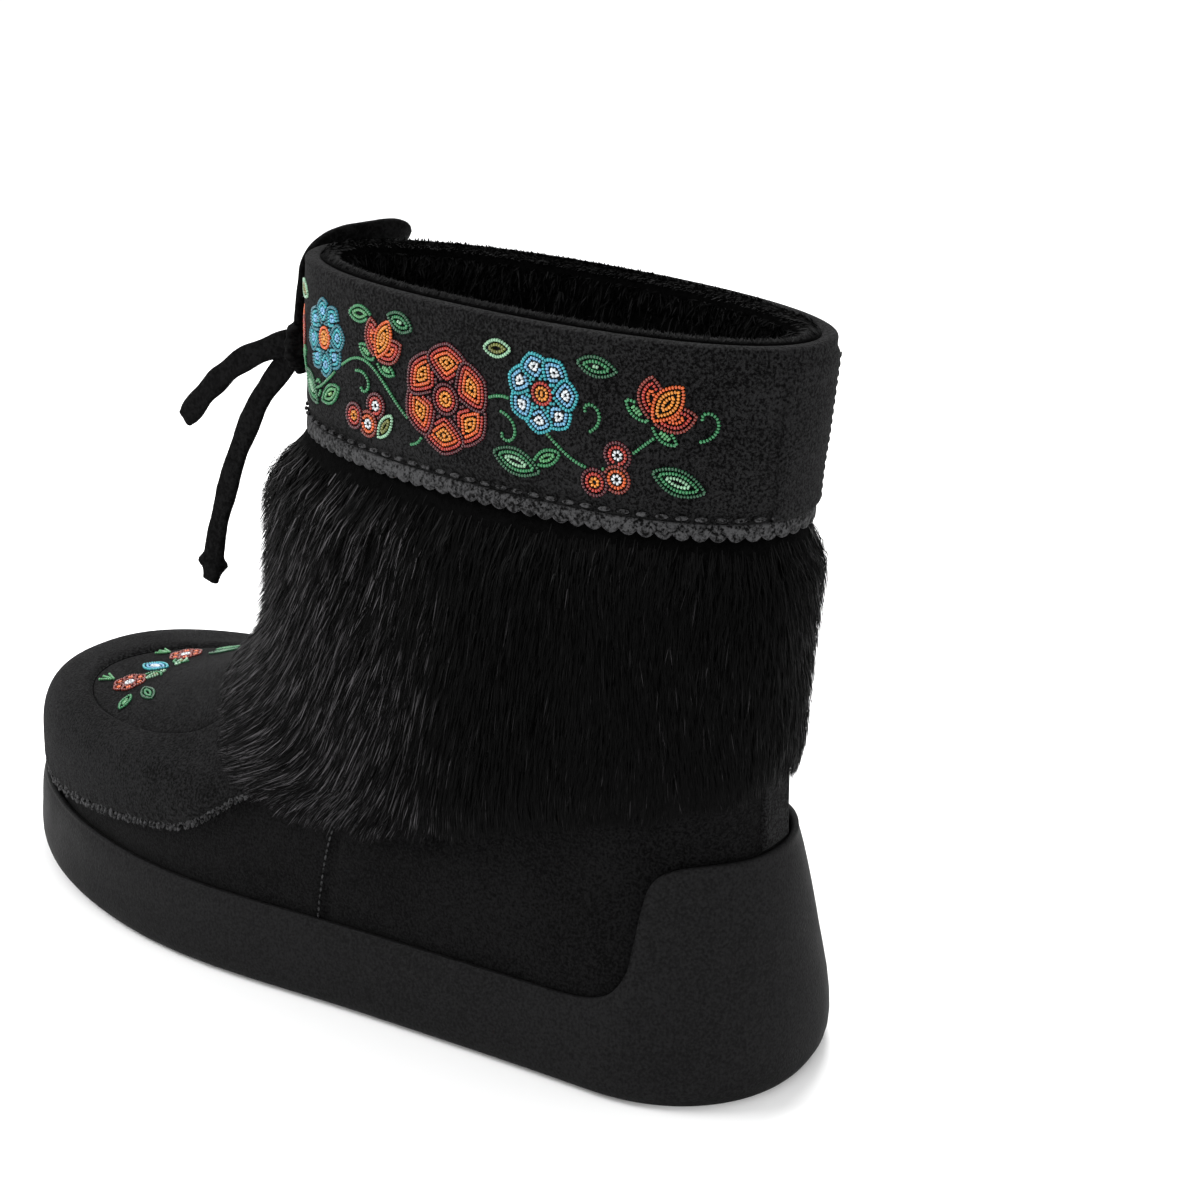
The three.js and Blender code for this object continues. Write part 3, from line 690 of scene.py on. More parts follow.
def grown(points, out):
    """A closed ring moved out in plan, square to its own outline, keeping the toe's curl."""
    ahead = unit((np.roll(points, -1, 0) - np.roll(points, 1, 0))[:, :2])
    moved = points.copy()
    moved[:, 0] += ahead[:, 1] * out
    moved[:, 1] -= ahead[:, 0] * out
    moved[:, 2] += spring(moved[:, 1]) - spring(points[:, 1])
    return moved


def disc(points, height, shares):
    """Rings from a closed ring in towards the shaft's axis, on a level that curls with the toe."""
    rings = []
    for share in shares:
        y = mix(SETBACK, points[:, 1], share)
        rings.append(np.stack([points[:, 0] * share, y, height + spring(y)], -1))
    return rings


def sole_edge(turn):
    return cup_height(SETBACK - sole_radius(turn) * np.cos(turn))


def arched(points):
    """The sole's points with the arch lifted on the inner side."""
    rising = smooth(points[:, 1], -0.1 * SOLE_LENGTH, 0.08 * SOLE_LENGTH)
    falling = smooth(points[:, 1], 0.12 * SOLE_LENGTH, 0.27 * SOLE_LENGTH)
    inner = smooth(-points[:, 0], -BALL_WIDTH / 4, BALL_WIDTH / 2)
    lifted = points.copy()
    lifted[:, 2] += ARCH_RISE * rising * (1 - falling) * inner
    return lifted


def outsole():
    """The cupsole: tread rim, bevel, side, lip and the cup inside. Returns the tread's edge."""
    radius = sole_radius(turns)
    y = SETBACK - radius * np.cos(turns)
    ground = np.stack([radius * np.sin(turns), y, spring(y)], -1)
    edge_height = sole_edge(turns)
    top_at = station_at(edge_height)
    edge = skin(turns, top_at, GAP + RUBBER_EDGE)
    shares = np.array([1, 0.8, 0.6, 0.4, 0.2, 0.04])
    rim = grown(ground, -SOLE_BEVEL - TREAD_RIM)
    under = disc(grown(rim, -1), TREAD_DEPTH, shares[::-1]) + [rim]
    sides = []
    for rise in (0, 0.02, 0.05, 0.09, 0.14, 0.22, 0.32, 0.42, 0.52, 0.62, 0.72, 0.82, 0.9, 0.95, 0.985):
        moved = mix(ground, edge, side_lean(rise))
        moved[:, 2] = edge_height * rise + spring(moved[:, 1])
        sides.append(grown(moved, -side_tuck(rise) * SOLE_BEVEL))
    rings = [arched(ring) for ring in under + sides[:1]] + sides[1:]
    lip = [(RUBBER_EDGE + GAP - 0.5, 0.05), (RUBBER_EDGE * 0.65, 0.35), (GAP + 0.5, 0.1), (GAP, -1.2)]
    rings += [skin(turns, top_at, out, rise) for out, rise in lip]
    for share in (0.7, 0.4, 0.15, 0):
        rings.append(skin(turns, top_at * share, GAP))
    rings += disc(rings[-1], CUP_FLOOR, shares[1:])
    rings_piece("outsole_rubber", rings, rubber, "outsole")
    return rim


def tread_bars(rim):
    """Cross bars inside the rim of the tread, bevelled, as one mesh."""
    points, faces = [], []
    top = TREAD_DEPTH + 0.5
    outer, inner = rim[rim[:, 0] > 0], rim[rim[:, 0] < 0]
    outer, inner = outer[np.argsort(outer[:, 1])], inner[np.argsort(inner[:, 1])]
    lowest, highest = rim[:, 1].min() + 1, rim[:, 1].max() - 1
    count = int(SOLE_LENGTH / 2 / BAR_PITCH)
    steps = 24
    for k in range(-count, count + 1):
        for step in range(steps):
            for dy, z in ((-0.5, top), (-0.44, 0.0), (0.44, 0.0), (0.5, top)):
                y = min(max(k * BAR_PITCH + dy * BAR_WIDTH, lowest), highest)
                right = np.interp(y, outer[:, 1], outer[:, 0]) + 0.5
                left = np.interp(y, inner[:, 1], inner[:, 0]) - 0.5
                points.append([mix(left, right, step / (steps - 1)), y, z])
        faces.append(quads(steps, 4, False) + (k + count) * steps * 4)
    points = np.array(points)
    points[:, 2] += spring(points[:, 1])
    piece("outsole_tread", arched(points), np.concatenate(faces)[:, ::-1], rubber)


tread_bars(outsole())


# Upper, lining and footbed

# Soft troughs and ridges, listed one by one: a flex crease, the quarter's belly and a dip before the
# heel, each as millimetres out, turn, its spread, station and its spread
CREASES = [(-0.9, 0.62, 0.10, 0.24, 0.12), (0.5, 1.5, 0.5, 0.2, 0.1), (-0.5, 2.35, 0.12, 0.33, 0.1)]


def bell(value, middle, spread):
    return np.exp(-((value - middle) / spread) ** 2)


def creases(turn, at):
    total = 0
    for out, middle, wide, level, tall in CREASES:
        total = total + out * (bell(np.abs(turn), middle, wide) * bell(at, level, tall))
    return total


QUARTER_GROOVE = 1.2
QUARTER_GROOVE_TURN = 0.014


def quarter_seam(at):
    """Turn of the seam where the quarter meets the toe."""
    return 0.785 + 0.16 * at


def upper():
    """The suede shell, creased and grooved below and left smooth where fur and cuff cover it."""
    rows = np.concatenate([np.linspace(0, 0.6, 72), np.linspace(0.65, 1, 7)])
    seam = bell(np.abs(turns)[None], quarter_seam(rows)[:, None], QUARTER_GROOVE_TURN)
    low = 1 - smooth(rows, 0.5, 0.6)[:, None]
    relief = (creases(turns[None], rows[:, None]) - QUARTER_GROOVE * seam) * low
    outer = skin(turns[None], rows[:, None], relief * smooth(rows, 0.02, 0.1)[:, None])
    outer += (waves(outer, 34, 8) * 0.22 * low)[..., None] * unit(outer - [0, SETBACK, 60])
    inner = skin(turns[None], rows[::-6, None], -WALL)
    rings_piece("upper_shell", np.concatenate([outer, inner]), suede, "upper", True)


def lining():
    """Plush lining from under the rim down to the footbed, in soft vertical folds."""
    rows = np.linspace(0.1, station_at(COLLAR_HEIGHT - RIM_TURN + 1.0), 44)
    fold = 0.7 * np.sin(np.abs(turns) * 31 + 1.3 * np.sin(turns * 5)) + 0.5 * np.sin(turns * 17 + 2)
    top = rows[-1]
    folded = smooth(rows, 0.3, 0.7) * (1 - smooth(rows, top - 0.05, top))
    depth = 1.9 + 0.35 * fold[None] * folded[:, None]
    depth = depth - 0.9 * smooth(rows, top - 0.02, top)[:, None]
    inside = -WALL - 0.4 - depth
    inner = skin(turns[None], rows[:, None], inside)
    outer = skin(turns[None], rows[::-6, None], -WALL - GAP)
    rings_piece("plush_lining", np.concatenate([inner, outer]), plush_base, None, True)


def footbed():
    """A plush footbed on the cup's floor."""
    edge = skin(turns, station_at(CUP_FLOOR + 2.0), -WALL - 2 * GAP)
    floor_height = CUP_FLOOR + GAP
    top = INSOLE_THICKNESS + floor_height
    rings = disc(edge, floor_height, [0.03, 0.5, 0.97, 1])
    rings += disc(edge, top - 1.2, [1.0])
    rings += disc(edge, top, [0.985, 0.9, 0.75, 0.6, 0.45, 0.3, 0.15, 0.03])
    rings_piece("footbed_plush", rings, plush_base, "insole")


upper()
lining()
footbed()


# Toe: roll, plug and the puckered seam between them and the quarters

def seam_height(y):
    return SEAM_HEIGHT + SEAM_SLOPE * np.maximum(0, y - SEAM_LEVEL_END)


def seam_station(turn):
    """Station of the puckered seam in a direction; height_at leaves the toe's curl to face."""
    at = np.full(np.shape(turn), 0.1)
    for _ in range(4):
        at = station_at(seam_height(face(turn, at)[..., 1]))
    return at


def plan_place(x, y):
    turn = np.arctan2(x, SETBACK - y)
    radius = np.hypot(x, SETBACK - y)
    shape = np.shape(turn)
    return turn, station_of(turn.ravel(), radius.ravel()).reshape(shape)


def plug_edge(angle, share=1.0):
    x = PLUG_MIDDLE[0] + np.sin(angle) * PLUG_WIDTH / 2 * share
    y = PLUG_MIDDLE[1] - np.cos(angle) * PLUG_LENGTH / 2 * share
    return plan_place(x, y)


ROLL_REACH = 2.5
ROLL_TURN = 0.64
SEAM_BEND = (0.43, 0.575)
SEAM_RISE = 0.17
SEAM_TOP = 0.42
GATHER_PITCH = 2.9
GATHER_DEPTH = 0.2
SLACK_PITCH = 7.3


def roll_place(angle, down):
    """A place on the toe roll: angle round the plug, down from 0 at the plug to 1 at the seam."""
    near_turn, near_at = plug_edge(angle)
    far_turn = np.sign(angle) * ROLL_TURN * (np.abs(angle) / ROLL_REACH) ** 1.08
    bent = (np.maximum(0, np.abs(far_turn) - SEAM_BEND[0]) / (SEAM_BEND[1] - SEAM_BEND[0])) ** 3
    far_at = np.minimum(seam_station(far_turn) + SEAM_RISE * bent, SEAM_TOP)
    return mix(near_turn, far_turn, down), mix(near_at, far_at, down)


def toe_roll():
    """The padded toe, gathered at the seam and flat where the fur lies over it."""
    angles = np.linspace(-ROLL_REACH, ROLL_REACH, 420)
    downs = np.concatenate([[0, 0.004, 0.012, 0.025, 0.045, 0.07], np.linspace(0.1, 0.9, 34),
                            [0.93, 0.95, 0.965, 0.98, 0.99, 1.0]])
    turn, at = roll_place(angles[None], downs[:, None])
    run = lengths(face(turn[-1], at[-1]))
    rise = np.sqrt(np.clip(1 - (1 - np.minimum(1, downs / 0.06)) ** 2, 0, 1))
    fall = np.sqrt(np.clip(1 - (1 - np.minimum(1, (1 - downs) / 0.05)) ** 2, 0, 1))
    gather = np.cos(run / GATHER_PITCH * TAU)[None] * GATHER_DEPTH * smooth(downs, 0.88, 0.985)[:, None]
    slack = np.cos(run / SLACK_PITCH * TAU + 1.1 * np.sin(run / 11))[None] * 0.07
    slack = slack * (smooth(downs, 0.7, 0.92) * (1 - smooth(downs, 0.95, 1)))[:, None]
    stand = ROLL_DEPTH * roll_stand(at) * (0.12 + 0.88 * (rise * fall)[:, None])
    under_fur = smooth(run_of(turn, at) - run_of(turn, hem_at(turn)), 1, 7)
    stand = stand * mix(1, 0.25, under_fur)
    outer = skin(turn, at, GAP + stand + (gather + slack) * (1 - under_fur))
    under = skin(turn[::-12], at[::-12], -0.8)
    rings = np.concatenate([outer, under])
    rows, count = rings.shape[:2]
    ends = [np.arange(rows) * count, np.arange(rows)[::-1] * count + count - 1]
    piece("toe_roll", rings, quads(rows, count, False, True), suede_soft, ends, "vamp")


def toe_plug():
    """The oval apron inside the roll, slightly crowned."""
    angles = np.arange(240) * TAU / 240
    shares = np.array([0.02, 0.15, 0.3, 0.45, 0.6, 0.72, 0.82, 0.9, 0.95, 0.98, 0.993])
    rings = []
    for share in shares:
        turn, at = plug_edge(angles, share)
        crown = PLUG_THICKNESS * (0.35 + 0.65 * math.sqrt(max(0, 1 - share ** 8)))
        rings.append(skin(turn, at, GAP + crown))
    for share in (0.993, 0.7, 0.35, 0.02):
        turn, at = plug_edge(angles, share)
        rings.append(skin(turn, at, -0.6))
    rings_piece("toe_plug_felt", rings, suede_soft, "vamp_plug")


toe_roll()
toe_plug()

STITCH = bead_form(7, 4)


def path_frames(turn, at, out, pitch):
    """Places each pitch along a line on the boot, with the line's direction there."""
    line = skin(turn, at, out)
    run = lengths(line)
    marks = np.arange(pitch / 2, run[-1], pitch)
    turn, at = np.interp(marks, run, turn), np.interp(marks, run, at)
    way = unit(on_line(marks + 0.3, run, line) - on_line(marks - 0.3, run, line))
    point, normal = frame_at(turn, at)[:2]
    depth = np.interp(marks, run, np.broadcast_to(out, line.shape[:1]))
    return point + normal * depth[:, None], normal, way


def stitches(name, turn, at, out, pitch, length, width, look=thread, slant=0.0):
    """A row of stitches along a line on the boot, as one mesh."""
    centre, normal, way = path_frames(turn, at, out, pitch)
    across = np.cross(normal, way)
    ahead = unit(way * math.cos(slant) + across * math.sin(slant))
    ahead = unit(ahead + rng.normal(scale=0.04, size=ahead.shape))
    axes = (np.cross(ahead, normal), normal, ahead)
    many(name, STITCH, centre, axes, np.array([width, width, length]), look)


def toe_seam_stitches():
    angles = np.linspace(-ROLL_REACH, ROLL_REACH, 500)
    turn, at = roll_place(angles, np.full(500, 1.0))
    bulge = 1.5 + 0.25 * np.sin(angles * 61) + 0.2 * np.sin(angles * 113 + 1)
    stitches("toe_seam_whip", turn, at - 0.004, bulge, 1.9, 3.6, 1.3, trim_felt, 1.0)
    stitches("toe_seam_cord", turn, at + 0.006, bulge + 0.1, 1.9, 3.0, 1.05, trim_felt, 2.2)
    turn, at = plug_edge(np.linspace(-2.0, 2.0, 400), 1.004)
    stitches("plug_edge_stitches", turn, at, GAP + 0.85, 2.0, 1.5, 0.5)


toe_seam_stitches()


def quarter_stitches():
    rows = np.linspace(station_at(20), 0.44, 60)
    for side, name in ((1, "outer"), (-1, "inner")):
        turn = side * (quarter_seam(rows) - 0.022)
        stitches(f"quarter_stitches_{name}", turn, rows, 0.2, 2.0, 1.6, 0.55, trim_felt)


quarter_stitches()


# Cuff, trim and strips

CUFF_LOW = station_at(CUFF_BOTTOM)
HEM_STITCH_RISE = 1.6
HEM_STITCHES = station_at(CUFF_BOTTOM + HEM_STITCH_RISE)
RIM_INSIDE = -WALL - CUFF_THICKNESS * 0.7
RIM_FOOT = station_at(COLLAR_HEIGHT - RIM_TURN)


def cuff():
    """The suede band: pressed in along its hem stitches and rolled over the rim with a groove."""
    near = np.linspace(CUFF_LOW, CUFF_LOW + 0.03, 14)
    rows = np.concatenate([near, np.linspace(CUFF_LOW + 0.035, 1, 28)])
    middle = (CUFF_THICKNESS + RIM_INSIDE) / 2
    rings = [skin(turns, CUFF_LOW, GAP), skin(turns, CUFF_LOW, CUFF_THICKNESS - 0.9),
             skin(turns, CUFF_LOW + 0.003, CUFF_THICKNESS - 0.25)]
    for at in rows[1:]:
        ring = skin(turns, at, CUFF_THICKNESS)
        soft = waves(ring, 46, 21) * 0.3 + waves(ring, 12, 22) * 0.08
        soft = soft - 0.8 * bell(at, HEM_STITCHES, 0.006)
        fade = smooth(at, CUFF_LOW, CUFF_LOW + 0.004)
        rings.append(skin(turns, at, CUFF_THICKNESS + soft * fade))
    half = (CUFF_THICKNESS - RIM_INSIDE) / 2
    for angle in np.linspace(0, math.pi, 21)[1:-1]:
        flat = np.sign(math.cos(angle)) * abs(math.cos(angle)) ** 0.6
        lift = RIM_HEIGHT * math.sin(angle) ** 0.4
        groove = 0.7 * bell(flat, -0.02, 0.07)
        rings.append(skin(turns, 1, middle + half * flat, lift - groove))
    for at in np.linspace(1, RIM_FOOT, 6):
        rings.append(skin(turns, at, RIM_INSIDE + 0.25 * (1 - at)))
    rings.append(skin(turns, RIM_FOOT - 0.003, -WALL - 1.0))
    rings.append(skin(turns, RIM_FOOT, -WALL - GAP))
    for at in np.linspace(1, CUFF_LOW, 8)[:-1]:
        rings.append(skin(turns, at, GAP - 0.2))
    rings_piece("cuff_suede", rings, suede_cuff, "cuff", True)


def rim_plush():
    """The lining's plush, rolled over the inner half of the rim."""
    rings = []
    for out, rise in ((-0.9, RIM_HEIGHT - 0.5), (-1.2, RIM_HEIGHT + 0.1), (-1.9, RIM_HEIGHT + 0.35),
                      (-2.9, RIM_HEIGHT + 0.35), (-3.9, RIM_HEIGHT + 0.1), (-4.7, RIM_HEIGHT - 0.6),
                      (RIM_INSIDE - 0.4, RIM_HEIGHT - 1.6)):
        rings.append(skin(turns, 1, out, rise))
    for at in np.linspace(1, RIM_FOOT, 5):
        rings.append(skin(turns, at, RIM_INSIDE - 0.45))
    rings += [skin(turns, 1, RIM_INSIDE + 0.5), skin(turns, 1, -2.9, RIM_HEIGHT - 0.8)]
    rings_piece("rim_plush", rings, plush_base, None, True)


def cuff_trim():
    """A scalloped felt strip that hangs below the cuff's stitched edge."""
    fine = spaced_turns(SCALLOPS * 10)
    run = lengths(skin(fine, CUFF_LOW, CUFF_THICKNESS))
    wave = np.abs(np.sin(run / run[-1] * SCALLOPS * math.pi)) ** 0.6
    low = station_at(CUFF_BOTTOM - TRIM_DROP + SCALLOP_DEPTH * (1 - wave))
    high = station_at(CUFF_BOTTOM + 0.3)
    outer = CUFF_THICKNESS * 0.95
    rings = []
    for share, out in ((0.0, GAP + 0.3), (0.0, outer - 0.5), (0.06, outer), (0.4, outer + 0.1),
                       (0.75, outer), (0.97, outer - 0.1), (1.0, outer - 0.6), (1.0, GAP + 0.1)):
        rings.append(skin(fine, mix(low, high, share), out))
    rings_piece("cuff_trim_felt", rings, trim_felt, "cuff_trim", True)
    around = np.linspace(-math.pi, math.pi, 900)
    line = np.full(900, HEM_STITCHES)
    stitches("cuff_hem_stitches", around, line, CUFF_THICKNESS + 0.1, 4.6, 3.2, 1.15, trim_felt, 0.06)


STRIP_ROWS = 40
BACK_RADIUS = HEEL_BACK - 9


def strip(name, node, half, low, high, base, thickness):
    """A strip down the middle of the back, with rolled edges and a row of stitches each side."""
    across = np.concatenate([[-1, -1, -0.97, -0.9], np.linspace(-0.8, 0.8, 15), [0.9, 0.97, 1, 1]])
    depth = np.array([0, 0.5, 0.85, 1] + [1] * 15 + [1, 0.85, 0.5, 0])
    heights = np.linspace(low, high, STRIP_ROWS)
    rows = station_at(heights)
    ends = np.sqrt(smooth(heights, low - 0.2, low + 1.2) * (1 - smooth(heights, high - 2.0, high + 0.1)))
    reach = half / BACK_RADIUS
    turn = math.pi - across * reach
    rings = np.stack([skin(turn, at, base + thickness * depth * end) for at, end in zip(rows, ends)])
    count = len(across)
    back = np.stack([skin(turn, at, base - 0.5) for at in rows])
    cells = quads(STRIP_ROWS, count, False)
    points = np.concatenate([rings.reshape(-1, 3), back.reshape(-1, 3)])
    shift = STRIP_ROWS * count
    bottom, left = np.arange(count), np.arange(STRIP_ROWS) * count
    top, right = bottom + shift - count, left + count - 1
    walls = []
    for edge in (bottom, right, top[::-1], left[::-1]):
        walls.append(np.stack([edge[:-1], edge[1:], edge[1:] + shift, edge[:-1] + shift], -1))
    faces = np.concatenate([cells[:, ::-1], cells + shift, *walls])
    piece(name, points, faces, suede_cuff, (), node)
    for side in (-1, 1):
        line = math.pi - side * (reach - 1.3 / BACK_RADIUS)
        stitches(f"{name}_stitches_{'a' if side < 0 else 'b'}", np.full(60, line),
                 np.linspace(rows[1], rows[-2], 60), base + thickness + 0.02, 2.3, 1.6, 0.45)


cuff()
rim_plush()
cuff_trim()
strip("cuff_back_strip", "back_strip", 9.5, CUFF_BOTTOM + 0.5, COLLAR_HEIGHT - 1, CUFF_THICKNESS, 0.9)
strip("heel_back_strip", "heel_strip", 6, HEEL_CUP_TOP + 0.5, 86, 0, STRIP_THICKNESS)


# Fur sleeve

FUR_TOP = station_at(CUFF_BOTTOM - TRIM_DROP + 0.6)
FUR_PROFILE = {
    "up": [0, 0.1, 0.3, 0.55, 0.8, 0.92, 1],
    "front": [0.28, 0.3, 0.38, 0.85, 1.25, 1.2, 0.4],
    "side": [0.45, 0.62, 0.8, 0.9, 0.88, 0.78, 0.25],
    "back": [0.26, 0.32, 0.42, 0.5, 0.6, 0.6, 0.25],
}
fur_front, fur_side, fur_back = (column(FUR_PROFILE, "up", name) for name in ("front", "side", "back"))


def fur_run(turn, up):
    """How far up the boot's face a share of the fur lies, in millimetres."""
    hem = run_of(turn, hem_at(turn))
    return mix(hem, run_of(turn, FUR_TOP + 0 * turn), up)


def fur_depth(turn, up):
    """How far the fur's body stands out, in millimetres."""
    back = smooth(-np.cos(turn), 0.1, 0.95)
    front = smooth(np.cos(turn), 0.45, 0.95)
    return FUR_DEPTH * mix(mix(fur_side(up), fur_front(up), front), fur_back(up), back)


PELT_LOW = 0.06
HAIR_BATCHES = 4
HAIRS_A_BATCH = 37000
HAIR_LENGTH = 11.5
HAIR_WIDTH = (0.15, 0.36)
HAIR_SWAY = 0.010
HEM_HAIRS = 0.22
HEM_ZONE = 0.24
LOCK_TURN = 0.035
LOCK_UP = 0.07
# How far the hairs are combed back, in turn, by how much they face the toe
COMB = ([-1, -0.2, 0.6, 1], [0, 0.015, 0.045, 0])
PILE_HAIRS = 16000
PILE_LENGTH = 4.6
RIM_PILE_HAIRS = 7000
STEPS = np.array([0, 0.5, 1.0])


def fur_skin():
    """The pelt under the hairs: half as deep as the fur, thin at the hem."""
    rings = []
    for up in np.linspace(PELT_LOW, 1, 24):
        rise = smooth(up, PELT_LOW, PELT_LOW + 0.12)
        out = np.maximum(0.3, fur_depth(turns, up) * 0.5 * rise)
        rings.append(skin(turns, station_on(turns, fur_run(turns, up + 0 * turns)), out))
    for up in (1, 0.75, 0.5, 0.25, PELT_LOW):
        rings.append(skin(turns, station_on(turns, fur_run(turns, up + 0 * turns)), -0.4))
    rings_piece("fur_pelt", rings, plush_base, "fur_band", True)


def ribbons(name, points, sides, width, look, shade):
    """Thin tapering ribbons through three points of each hair, darker at the root."""
    wide = width[:, None, None] * np.array([0.9, 1.0])[None, :, None] / 2
    left = points[:, :-1] - sides[:, :-1] * wide
    right = points[:, :-1] + sides[:, :-1] * wide
    laid = np.stack([left[:, 0], right[:, 0], left[:, 1], right[:, 1], points[:, -1]], 1)
    each = laid.shape[1]
    base = np.arange(len(points))[:, None, None] * each
    faces = (np.array([[0, 1, 3], [0, 3, 2], [2, 3, 4]])[None] + base).reshape(-1, 3)
    made = piece(name, laid, faces, look)
    tone = shade[:, None] * np.linspace(0.55, 1.15, each)[None]
    paint(made, "shade", np.clip(tone, 0, 1).ravel())


def random_turns(local, count):
    """Turns drawn evenly along the rims."""
    return np.interp(local.uniform(0, 1, count), np.linspace(0, 1, 1000), spaced_turns(1000))


def clumped(turn, up, seed):
    """The middle turn of the lock that each hair belongs to, and the lock's own tone."""
    across = np.floor(turn / LOCK_TURN)
    down = np.floor(up / LOCK_UP + 0.5 * (across % 2))
    key = across * 131.7 + down * 17.3 + seed
    tone = (np.sin(key) * 43758.5453) % 1
    return (across + 0.15 + 0.7 * tone) * LOCK_TURN, tone


def fur_hairs(name, count, seed):
    """Guard hairs that lie down the boot's face in loose locks and end at the hem."""
    local = np.random.default_rng(seed)
    turn = random_turns(local, count)
    turn += local.normal(scale=0.004, size=count)
    up = local.uniform(PELT_LOW, 1.0, count)
    low = local.uniform(size=count) < HEM_HAIRS
    up = np.where(low, local.uniform(PELT_LOW * 0.6, HEM_ZONE, count), up)
    middle_turn, tone = clumped(turn, up, seed % 7)
    length = local.normal(HAIR_LENGTH, 2.0, count) * (0.85 + 0.3 * tone)
    length *= mix(1, 0.8, smooth(-np.cos(turn), 0.2, 1))
    pull = STEPS[None] ** 1.5 * 0.25
    comb = np.interp(np.cos(turn), *COMB) * -np.sign(np.sin(turn))
    sway = local.normal(scale=HAIR_SWAY, size=count) + HAIR_SWAY * np.sin(turn * 9 + up * 5)
    path_turn = turn[:, None] + (middle_turn - turn)[:, None] * pull
    path_turn = path_turn + (sway + comb)[:, None] * STEPS[None] ** 1.2
    root = fur_run(turn, up)
    hem = fur_run(path_turn[:, -1], 0 * up)
    ragged = local.normal(scale=1.0, size=count) + 2.6 * (tone - 0.5) + 1.0 * np.sin(turn * 23)
    tip_run = np.maximum(root - length, hem + ragged)
    reach = np.maximum(root - tip_run, 2.0)
    path_run = root[:, None] - reach[:, None] * STEPS[None]
    path_at = np.maximum(station_on(path_turn, path_run), 0.02)
    depth = fur_depth(turn, up)
    loose = local.uniform(0.1, 1.0, count) ** 0.8
    lift = depth[:, None] * (0.45 + (0.25 + 0.5 * loose[:, None]) * np.sin(STEPS[None] * 1.7))
    near_hem = smooth((path_run - hem[:, None]), -4, 9)
    lift = lift * mix(0.5, 1, near_hem) + local.normal(scale=0.25, size=(count, 1)) * STEPS[None]
    points = skin(path_turn, path_at, np.maximum(lift, 0.3))
    ahead_way = unit(np.gradient(points, axis=1))
    normal = frame_at(path_turn, path_at)[1]
    side = unit(np.cross(normal, ahead_way) + normal * local.normal(scale=0.5, size=(count, 1, 1)))
    width = local.uniform(*HAIR_WIDTH, count)
    shade = np.clip(local.beta(0.66, 3.0, count) + 0.1 * (tone - 0.5), 0, 1)
    # Painted light: strands are lightened towards the toe and darkened towards the heel, standing in for
    # light falling from the front.
    shade = shade * mix(0.6, 1.4, smooth(np.cos(turn), -0.3, 0.8))
    ribbons(name, points, side, width, fur_hair, shade)


fur_skin()
for batch in range(HAIR_BATCHES):
    fur_hairs(f"fur_hairs_{batch + 1}", HAIRS_A_BATCH, 40 + batch)


def pile(name, local, points, side, wide):
    shade = np.clip(local.beta(1.6, 3, len(points)), 0, 1)
    ribbons(name, points, side, local.uniform(*wide, len(points)), pile_hair, shade)


def lining_pile(local, count):
    """Short pile that shows under the rim and down the inside."""
    turn = random_turns(local, count)
    deep = local.uniform(0, 1, count) ** 1.8
    at = mix(1.0, 0.45, deep)
    length = local.normal(PILE_LENGTH, 0.9, count)
    rise = np.linalg.norm(face(turn, at) - face(turn, at - 0.02), axis=1) / 0.02
    path_at = at[:, None] - (length / rise)[:, None] * STEPS[None] * local.uniform(-0.15, 1, (count, 1))
    path_turn = turn[:, None] + local.normal(scale=0.02, size=(count, 1)) * STEPS[None]
    out = -WALL - 2.3 - STEPS[None] * length[:, None] * local.uniform(0.2, 0.5, (count, 1))
    points = skin(path_turn, np.clip(path_at, 0.05, 0.999), out)
    side = unit(local.normal(size=(count, 1, 3)) + np.zeros((1, 3, 1)))
    pile("lining_pile", local, points, side, (0.38, 0.62))


def rim_pile(local, count):
    """Pile that stands up and inwards from the rolled rim."""
    turn = local.uniform(-math.pi, math.pi, count)
    across = local.uniform(0, 1, count)
    lean = local.normal(scale=0.5, size=(count, 1))
    root = skin(turn, 1, mix(-1.2, -4.8, across), RIM_HEIGHT + 0.25 - 1.2 * across ** 3)
    frame_up = np.array([0.0, 0.0, 1.0])
    outward, along = frame_at(turn, 1.0)[1:3]
    inner = across[:, None]
    way = unit(-outward * (0.7 + inner) + frame_up * (0.75 - 0.9 * inner) + along * lean)
    points = root[:, None] + way[:, None] * (STEPS[None, :, None] * local.normal(1.5, 0.3, (count, 1, 1)))
    side = unit(np.cross(way, frame_up) + 0.2 * local.normal(size=(count, 3)))
    pile("rim_pile", local, points, side[:, None] + np.zeros((1, 3, 1)), (0.28, 0.46))


pile_rng = np.random.default_rng(77)
lining_pile(pile_rng, PILE_HAIRS)
rim_pile(pile_rng, RIM_PILE_HAIRS)


# Beadwork: a generic scroll of flowers, berries and leaves in rows of seed beads.

COLOURS = {
    "dark_green": (0.010, 0.075, 0.030), "green": (0.022, 0.17, 0.06), "leaf": (0.07, 0.26, 0.10),
    "lime": (0.17, 0.33, 0.12), "mint": (0.23, 0.42, 0.27), "olive": (0.13, 0.14, 0.025),
    "teal": (0.01, 0.13, 0.17), "turquoise": (0.025, 0.30, 0.34), "sky": (0.14, 0.36, 0.55),
    "white": (0.62, 0.66, 0.68), "amber": (0.62, 0.22, 0.02), "orange": (0.56, 0.09, 0.012),
    "red": (0.36, 0.025, 0.015), "brick": (0.17, 0.02, 0.012), "maroon": (0.07, 0.004, 0.009),
}
BEAD_PITCH = 0.76
BEAD_ROW = 1.08
BEAD_ROOM = 0.7
BEAD_RISE = 0.3
BEAD_SIZE = np.array([0.98, 0.92, 0.74])
BEAD = bead_form(6, 3)


